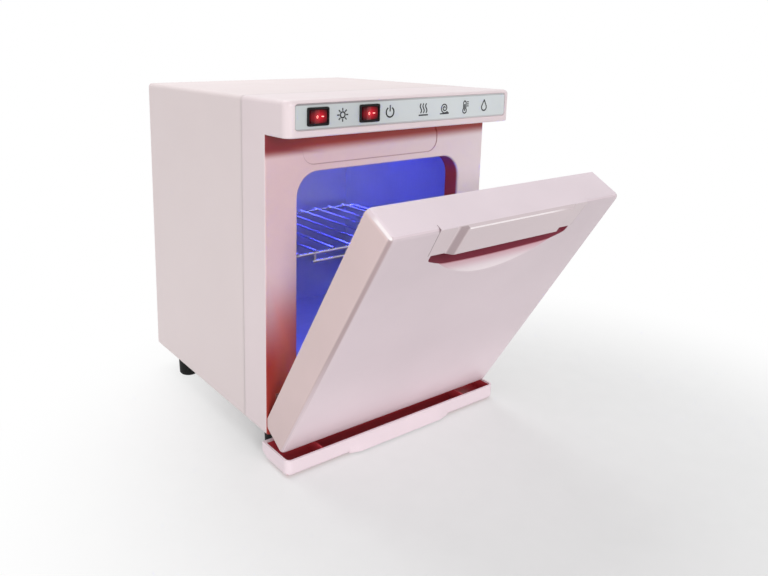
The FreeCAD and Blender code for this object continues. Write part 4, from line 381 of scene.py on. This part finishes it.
def frame_layers(tree, place):
    """Painted shade: rosier to the left, deep under the hood, on the opening's return and behind the door,
    with a painted red glow toward the opening.
    """
    axes = split(tree, place)
    from_middle = split(tree, vector_math(tree, "ABSOLUTE", place))["X"]
    not_face = outside(tree, place, FACE_BOX)
    seam = fade(tree, axes["Y"], SEAM, SEAM - SEAM_ROLL)
    rose_shade = fade(tree, axes["X"], *ROSE_SHADE_SPAN, ROSE_SHADE_LEAST)
    level = vector_math(tree, "DOT_PRODUCT", place, HOOD_SLANT, result="Value")
    hood = fade(tree, level, *HOOD_SHADOW_SPAN)
    wedge = fade(tree, axes["Z"], *WEDGE_SHADE_SPAN)
    shaded = larger(tree, product(tree, hood, wedge), not_face)
    turned = larger(tree, outside(tree, place, RETURN_BOX), fade(tree, axes["Y"], *RETURN_SPAN))
    corner = larger(tree, hood, fade(tree, axes["X"], *HOOD_CORNER_SPAN))
    inner = fade(tree, axes["Z"], *WEDGE_GLOW_SPAN)
    glow = larger(tree, inner, fade(tree, from_middle, *STILE_GLOW_SPAN))
    # Painted shade: a soft band at the seam, the tab's border line, a rosier face, deep shadows, a darker
    # hood corner and a painted red glow.
    return [(seam, scaled(PINK, SEAM_SHADE)),
            (larger(tree, rose_shade, not_face), ROSE_SHADE),
            (tab_line(tree, place), TAB_SHADE),
            (product(tree, shaded, turned), DEEP_SHADOW),
            (larger(tree, corner, not_face), HOOD_CORNER_SHADOW),
            (larger(tree, glow, not_face), PAINTED_RED_GLOW)]


def wrap_layers(tree, place):
    """Soft shade where the wrap rolls in to its seam."""
    seam = fade(tree, split(tree, place)["Y"], SEAM, SEAM + SEAM_ROLL)
    return [(seam, scaled(WRAP, SEAM_SHADE))]


def on_door(tree, place):
    """The leaning door's own upright coordinates, from its hinge axis."""
    turn = {"Location": HINGE, "Rotation": (DOOR_LEAN, 0.0, 0.0)}
    upright = add(tree, "ShaderNodeMapping", turn, vector_type="TEXTURE")
    tree.links.new(place, upright.inputs["Vector"])
    return upright.outputs["Vector"]


def door_faces(tree, door):
    """Painted shade at the front's top and painted light at its foot, painted light on the top, painted
    shade on the sides and side edges, painted highlights on the corners.
    """
    axes = split(tree, door)
    folded = vector_math(tree, "ABSOLUTE", door)
    not_front = outside(tree, door, DOOR_FRONT_BOX)
    upper = larger(tree, not_front, fade(tree, axes["Z"], *DOOR_UPPER_SPAN))
    lower = larger(tree, not_front, fade(tree, axes["Z"], *DOOR_LOWER_SPAN))
    sides = fade(tree, split(tree, folded)["X"], *DOOR_SIDE_SPAN)
    edge = near(tree, folded, (1.0, 1.0, 0.0), EDGE_LINE, EDGE_REACH)
    edge_end = fade(tree, axes["Z"], *EDGE_END_SPAN, 0.0, EDGE_END_SHARE)
    corner = near(tree, folded, (1.0, 0.0, 1.0), CORNER_LINE, CORNER_REACH)
    corner_end = fade(tree, axes["Y"], *CORNER_END_SPAN)
    return [(upper, DOOR_UPPER_SHADE),
            (lower, DOOR_LOWER_LIGHT),
            (outside(tree, door, DOOR_TOP_BOX), DOOR_TOP_LIGHT),
            (sides, DOOR_SIDES_SHADE),
            (larger(tree, edge, edge_end), DOOR_EDGE_SHADE),
            (larger(tree, corner, corner_end), PAINTED_HIGHLIGHT)]


def door_layers(tree, place):
    """Painted light and shade of the faces, then painted shade in the finger pocket above its arched floor
    and on its roll, with a painted highlight on the lip below it.
    """
    door = on_door(tree, place)
    painted_light_layers = door_faces(tree, door)
    flat = stretched(tree, door, (1.0, 0.0, 1.0))
    radius = vector_math(tree, "DISTANCE", flat, SCOOP_CENTRE, result="Value")
    not_scoop = outside(tree, door, SCOOP_BOX)
    for span, tone in ((LIP_SPAN, PAINTED_HIGHLIGHT), (ROLL_SPAN, SCOOP_ROLL_SHADE), (POCKET_SPAN, FINGER_POCKET_SHADE)):
        painted_light_layers.append((larger(tree, not_scoop, fade(tree, radius, *span)), tone))
    return painted_light_layers


def handle_layers(tree, place):
    """Painted light on the top, painted shade on the slope at the grip's left end, a painted highlight on
    the upper edge, painted shade in the strip's seam.
    """
    door = on_door(tree, place)
    axes = split(tree, door)
    foot = fade(tree, axes["Y"], *SLOPE_FOOT_SPAN)
    head = fade(tree, axes["Y"], *SLOPE_HEAD_SPAN)
    slope = larger(tree, outside(tree, door, SLOPE_BOX), larger(tree, foot, head))
    edge_end = fade(tree, axes["X"], *GRIP_EDGE_SPAN)
    across = vector_math(tree, "DOT_PRODUCT", door, STRIP_SLANT, result="Value")
    return [(outside(tree, door, STRIP_TOP_BOX), DOOR_TOP_LIGHT),
            (slope, HANDLE_SLOPE_SHADE),
            (larger(tree, outside(tree, door, GRIP_EDGE_BOX), edge_end), PAINTED_HIGHLIGHT),
            (fade(tree, across, *STRIP_SEAM_SPAN), HANDLE_SEAM_SHADE)]


def plate_layers(tree, place):
    """Painted light toward the right, with painted shadow lines along the lower edge and, darker, along
    the upper edge.
    """
    axes = split(tree, place)
    light = fade(tree, axes["X"], *PLATE_LIGHT_SPAN)
    faint = fade(tree, axes["X"], *PLATE_FAINT_SPAN, 0.0, PLATE_FAINT_SHARE)
    lower = larger(tree, faint, fade(tree, axes["Z"], *PLATE_LOWER_SPAN))
    upper = larger(tree, faint, fade(tree, axes["Z"], *PLATE_UPPER_SPAN))
    return [(light, PLATE_PAINTED_LIGHT), (lower, PLATE_LOWER_SHADOW), (upper, PLATE_UPPER_SHADOW)]


def tray_layers(tree, place):
    """Painted shade inside the tray."""
    return [(outside(tree, place, TRAY_BOX), TRAY_INSIDE_SHADE)]


finishes = {
    "pink_paint": moulded("powder_coat", WRAP, 0.42, grain=900.0, relief=0.10, cloud=0.015,
                          painted_light_layers=wrap_layers),
    "pink_plastic": moulded("pink_moulding", PINK, 0.34, cloud=0.02),
    "plate_silver": moulded("plate_film", PLATE, 0.38, grain=2400.0, relief=0.05, painted_light_layers=plate_layers,
                            Metallic=0.2),
    "black_plastic": moulded("black_moulding", (0.006, 0.005, 0.006), 0.5, grain=1800.0, relief=0.05,
                             cloud=0.15, **{"Specular IOR Level": 0.25}),
    "lit_red": rocker("lit_rocker", SWITCHES["uv"]),
    # The liner's aluminium is tinted blue: painted blue light of the lamp in the chamber.
    "liner_metal": metal("liner_sheet", (0.58, 0.61, 0.84), 0.42, grain=(40.0, 1800.0, 40.0)),
    "wire_steel": metal("bright_wire", (0.78, 0.79, 0.81), 0.20, grain=(900.0, 60.0, 900.0)),
    "zinc_steel": metal("zinc_plate", (0.62, 0.63, 0.64), 0.34),
    "lamp_glass": glowing("lamp_tube", (0.35, 0.40, 0.90), (0.10, 0.12, 1.0), 50.0, 0.10),
    "tray_guide": moulded("guide_moulding", (0.62, 0.60, 0.60), 0.45),
    "white_plastic": moulded("white_moulding", (0.74, 0.74, 0.72), 0.40),
    "black_rubber": moulded("black_rubber", (0.006, 0.006, 0.006), 0.62, grain=1500.0, relief=0.18,
                            cloud=0.15, **{"Specular IOR Level": 0.2}),
    "white_rubber": moulded("gasket_silicone", (0.70, 0.66, 0.66), 0.55, relief=0.12),
    "heater_foil": moulded("heater_silicone", (0.32, 0.05, 0.02), 0.60, grain=700.0, relief=0.25,
                           cloud=0.08),
    "brass": metal("brass_blade", (0.72, 0.52, 0.20), 0.28),
    "magnet": moulded("ferrite", (0.03, 0.03, 0.032), 0.60, grain=1000.0, relief=0.2, cloud=0.15),
}
# Mouldings with painted light and shade in places, and the second rocker with its own middle.
own_finish = {
    "front_bezel": moulded("frame_moulding", PINK, 0.34, cloud=0.02, painted_light_layers=frame_layers),
    "door_shell": moulded("door_moulding", DOOR_SHADED_PINK, 0.34, cloud=0.02, painted_light_layers=door_layers),
    "drip_tray": moulded("tray_moulding", TRAY_LIT_PINK, 0.34, cloud=0.02, painted_light_layers=tray_layers),
    "door_handle": moulded("handle_moulding", HANDLE_SHADED_PINK, 0.34, cloud=0.02, painted_light_layers=handle_layers),
    "power_rocker": rocker("lit_rocker_power", SWITCHES["power"]),
}

for subpart in frame["record"]["subparts"]:
    item = NODES[subpart["node"]]
    item.data.materials.clear()
    item.data.materials.append(own_finish.get(subpart["node"], finishes[subpart["material_slot"]]))


# Camera fitted to the photo: angles in degrees, focal length and shift in pixels of the picture.
YAW, PITCH, ROLL = 34.38, 11.616, 0.278
EYE = spot(-431.93, -498.82, 345.8)
SENSOR = 36.0
PICTURE_WIDTH = 768.0
FOCAL = 717.41
SHIFT_X, SHIFT_Y = 80.0, -100.0


def aim_camera():
    """Camera with the photo's perspective and a lens shift for its off-centre framing."""
    yaw, pitch, roll = (math.radians(angle) for angle in (YAW, PITCH, ROLL))
    ahead = Vector((math.sin(yaw) * math.cos(pitch), math.cos(yaw) * math.cos(pitch), -math.sin(pitch)))
    level = Vector((math.cos(yaw), -math.sin(yaw), 0.0))
    above = level.cross(ahead)
    right = level * math.cos(roll) + above * math.sin(roll)
    up = above * math.cos(roll) - level * math.sin(roll)
    data = bpy.data.cameras.new("camera")
    data.sensor_width = SENSOR
    data.lens = FOCAL / PICTURE_WIDTH * SENSOR
    data.shift_x = SHIFT_X / PICTURE_WIDTH
    data.shift_y = SHIFT_Y / PICTURE_WIDTH
    data.clip_start = 0.02
    data.clip_end = 60.0
    camera = bpy.data.objects.new("camera", data)
    turn = Matrix((right, up, -ahead)).transposed().to_4x4()
    camera.matrix_world = Matrix.Translation(EYE) @ turn
    SCENE.collection.objects.link(camera)
    SCENE.camera = camera


aim_camera()


# Stage and light
FLOOR_WIDTH = 9.0
FLOOR_CELLS = 24
GREY_MIDDLE = spot(62.0, -110.0, -25.0)
GREY_SPAN = (0.2, 0.48)
LEAST_WHITE = 0.34
WORLD_COLOUR = (1.0, 0.99, 0.99)
WORLD_LIGHT = 0.46


def white_rays(tree):
    """1 for rays from the eye, from a reflection or through glass, 0 for light on the object."""
    path = add(tree, "ShaderNodeLightPath")
    bright = larger(tree, path.outputs["Is Camera Ray"], path.outputs["Is Glossy Ray"])
    return larger(tree, bright, path.outputs["Is Transmission Ray"])


def mixed(tree, factor, first, second, output):
    """Two shaders mixed into an output node."""
    mix = add(tree, "ShaderNodeMixShader")
    tree.links.new(factor, mix.inputs["Fac"])
    tree.links.new(first, mix.inputs[1])
    tree.links.new(second, mix.inputs[2])
    tree.links.new(mix.outputs["Shader"], tree.nodes[output].inputs["Surface"])


def sheet_object(name, width, cells):
    """Flat square grid at ground level."""
    mesh = bpy.data.meshes.new(name)
    build = bmesh.new()
    bmesh.ops.create_grid(build, x_segments=cells, y_segments=cells, size=0.5)
    build.transform(Matrix.Diagonal((width, width, 1.0, 1.0)))
    build.to_mesh(mesh)
    build.free()
    sheet = bpy.data.objects.new(name, mesh)
    SCENE.collection.objects.link(sheet)
    return sheet


def studio_floor():
    """Pale ground that fades to white behind and far from the object."""
    floor = sheet_object("studio_floor", FLOOR_WIDTH, FLOOR_CELLS)
    material, tree, shader, place = start("floor_paint", {"Roughness": 0.85, "Specular IOR Level": 0.1})
    grain = noise(tree, place, 40.0, 3.0)
    paint = ramp(tree, grain, [(0.3, (0.84, 0.85, 0.85)), (0.7, (0.86, 0.87, 0.87))])
    tree.links.new(paint, shader.inputs["Base Color"])
    white = add(tree, "ShaderNodeEmission", {"Color": rgba(WHITE), "Strength": 1.0})
    distance = vector_math(tree, "DISTANCE", place, GREY_MIDDLE, result="Value")
    away = fade(tree, distance, *GREY_SPAN, LEAST_WHITE)
    share = product(tree, away, white_rays(tree))
    mixed(tree, share, shader.outputs["BSDF"], white.outputs["Emission"], "Material Output")
    floor.data.materials.append(material)


def studio_world():
    """White surround for the eye and for reflections, softer as a light."""
    world = bpy.data.worlds.new("studio")
    world.use_nodes = True
    tree = world.node_tree
    soft = tree.nodes["Background"]
    soft.inputs["Color"].default_value = rgba(WORLD_COLOUR)
    soft.inputs["Strength"].default_value = WORLD_LIGHT
    white = add(tree, "ShaderNodeBackground", {"Color": rgba(WHITE), "Strength": 1.0})
    mixed(tree, white_rays(tree), soft.outputs["Background"], white.outputs["Background"], "World Output")
    SCENE.world = world


def lamp(name, place, target, size, power):
    """Rectangular lamp aimed at a target."""
    data = bpy.data.lights.new(name, "AREA")
    data.shape = "RECTANGLE"
    data.size, data.size_y = size
    data.energy = power
    light = bpy.data.objects.new(name, data)
    light.location = place
    light.rotation_mode = "QUATERNION"
    light.rotation_quaternion = (Vector(target) - Vector(place)).to_track_quat("-Z", "Y")
    SCENE.collection.objects.link(light)


studio_floor()
studio_world()
lamp("top_softbox", place=(0.0, 0.75, 1.5), target=(0.0, 0.08, 0.2), size=(1.4, 1.0), power=11.0)
lamp("front_key", place=(-0.98, -2.73, 1.08), target=(0.0, -0.05, 0.15), size=(1.0, 1.0), power=37.0)
lamp("left_fill", place=(-1.6, -0.3, 0.6), target=(0.0, 0.0, 0.15), size=(1.0, 0.8), power=2.9)

SCENE.view_settings.view_transform = "Standard"

# Printed marks: sizes in millimetres
MARK_THICK = 0.1
MARK_SCALE = 1.25
PLATE_FACE = -32.6
PLATE_MIDDLE = 286.5


def stroke_object(name, strokes, transform):
    """Flat marks: each stroke is a closed outline of (x, z), raised a little toward -y."""
    mesh = bpy.data.meshes.new(name)
    build = bmesh.new()
    for outline in strokes:
        low = [build.verts.new((x, 0.0, z)) for x, z in outline]
        high = [build.verts.new((x, -MARK_THICK, z)) for x, z in outline]
        count = len(outline)
        build.faces.new(high)
        build.faces.new(list(reversed(low)))
        for i in range(count):
            j = (i + 1) % count
            build.faces.new((low[i], low[j], high[j], high[i]))
    bmesh.ops.recalc_face_normals(build, faces=build.faces)
    build.transform(transform)
    build.to_mesh(mesh)
    build.free()
    marks = bpy.data.objects.new(name, mesh)
    SCENE.collection.objects.link(marks)
    return marks


def ribbon(points, width):
    """Outlines of short quads that follow a line of points."""
    outlines = []
    for (x0, z0), (x1, z1) in zip(points, points[1:]):
        length = math.hypot(x1 - x0, z1 - z0)
        ux, uz = (x1 - x0) / length, (z1 - z0) / length
        nx, nz = -uz * width / 2, ux * width / 2
        ex, ez = ux * width * 0.25, uz * width * 0.25
        outlines.append([(x0 - ex + nx, z0 - ez + nz), (x0 - ex - nx, z0 - ez - nz),
                         (x1 + ex - nx, z1 + ez - nz), (x1 + ex + nx, z1 + ez + nz)])
    return outlines


def arc_points(cx, cz, radius, start_deg, end_deg, steps):
    """Points along an arc."""
    angles = [math.radians(start_deg + (end_deg - start_deg) * i / steps) for i in range(steps + 1)]
    return [(cx + radius * math.cos(a), cz + radius * math.sin(a)) for a in angles]


def lamp_icon():
    """Small sun: the lamp's mark."""
    strokes = ribbon(arc_points(0.0, 0.0, 1.9, 0, 360, 24), 0.9)
    for k in range(8):
        rim = arc_points(0.0, 0.0, 1.0, 45 * k, 45 * k, 1)[0]
        strokes += ribbon([(2.9 * rim[0], 2.9 * rim[1]), (4.3 * rim[0], 4.3 * rim[1])], 0.9)
    return strokes


def power_icon():
    """Broken ring with an upright bar."""
    return ribbon(arc_points(0.0, -0.3, 3.4, 125, 415, 28), 1.0) + ribbon([(0.0, 0.4), (0.0, 4.3)], 1.0)


def heat_icon():
    """Three rising waves over a bar."""
    strokes = []
    for k in (-1, 0, 1):
        wave = [(2.6 * k + 0.7 * math.sin(t * math.pi / 4), -2.4 + 0.8 * t) for t in range(9)]
        strokes += ribbon(wave, 0.9)
    return strokes + ribbon([(-4.2, -4.0), (4.2, -4.0)], 1.0)


def roll_icon():
    """Rolled cloth seen from its end."""
    turns = []
    for t in range(31):
        radius = 0.5 + 3.3 * t / 30
        turns.append((radius * math.cos(t * math.pi / 8), radius * math.sin(t * math.pi / 8)))
    return ribbon(turns, 0.8) + ribbon([(2.6, -2.8), (4.2, -4.0), (-4.2, -4.0)], 0.9)


def warmth_icon():
    """Thermometer with its bulb."""
    stem = [(-1.3, -1.6), (-1.3, 3.2), (0.0, 4.4), (1.3, 3.2), (1.3, -1.6)]
    strokes = ribbon(stem, 0.8) + ribbon(arc_points(0.0, -2.9, 1.9, 130, 410, 20), 0.8)
    strokes += ribbon([(0.0, -2.9), (0.0, 1.6)], 1.0)
    for z in (0.4, 1.9, 3.4):
        strokes += ribbon([(2.3, z), (3.9, z)], 0.8)
    return strokes


def drop_icon():
    """Water drop."""
    side = arc_points(0.0, -1.2, 2.6, 160, 380, 20)
    return ribbon([(0.0, 4.2)] + side + [(0.0, 4.2)], 0.9)


plate_marks = (
    ("mark_lamp", -75.0, lamp_icon()),
    ("mark_power", -24.0, power_icon()),
    ("mark_heat", 15.0, heat_icon()),
    ("mark_roll", 41.0, roll_icon()),
    ("mark_warmth", 67.0, warmth_icon()),
    ("mark_drop", 93.0, drop_icon()),
)
ink = moulded("plate_ink", (0.022, 0.024, 0.028), 0.5, grain=3000.0, relief=0.05, cloud=0.2)
plate_scale = Matrix.Scale(MILLIMETRE * MARK_SCALE, 4)
for mark_name, centre, mark in plate_marks:
    to_plate = Matrix.Translation(spot(centre, PLATE_FACE, PLATE_MIDDLE)) @ plate_scale
    piece = stroke_object(mark_name, mark, to_plate)
    piece.data.materials.append(ink)
    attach(piece, "cabinet")

# Marks on the rockers, lit from behind: a ring on the left half and a bar on the right.
VALLEY, SLOPE = 3.6, 0.19663
MARK_OFFSET = 3.0
ROCKER_TURN = math.radians(10.0)
rocker_marks = (
    ("ring", ribbon(arc_points(0.0, 0.0, 0.9, 0, 360, 20), 0.5), -1),
    ("bar", [[(-1.1, -0.3), (1.1, -0.3), (1.1, 0.3), (-1.1, 0.3)]], 1),
)
lit_mark = glowing("rocker_mark", (0.95, 0.55, 0.50), (1.0, 0.35, 0.30), 1.6, 0.3)
for switch_name, centre in SWITCHES.items():
    turn = Matrix.Rotation(ROCKER_TURN, 4, "Z")
    to_rocker = Matrix.Translation(spot(centre, *PIVOT)) @ Matrix.Scale(MILLIMETRE, 4) @ turn
    for mark_name, mark, lean in rocker_marks:
        middle = MARK_OFFSET * lean
        seat = Matrix.Translation((middle, -VALLEY - SLOPE * abs(middle), 0.0))
        tilt = Matrix.Rotation(-lean * math.atan(SLOPE), 4, "Z")
        piece = stroke_object(f"{switch_name}_rocker_{mark_name}", mark, to_rocker @ seat @ tilt)
        piece.data.materials.append(lit_mark)
        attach(piece, f"{switch_name}_rocker")
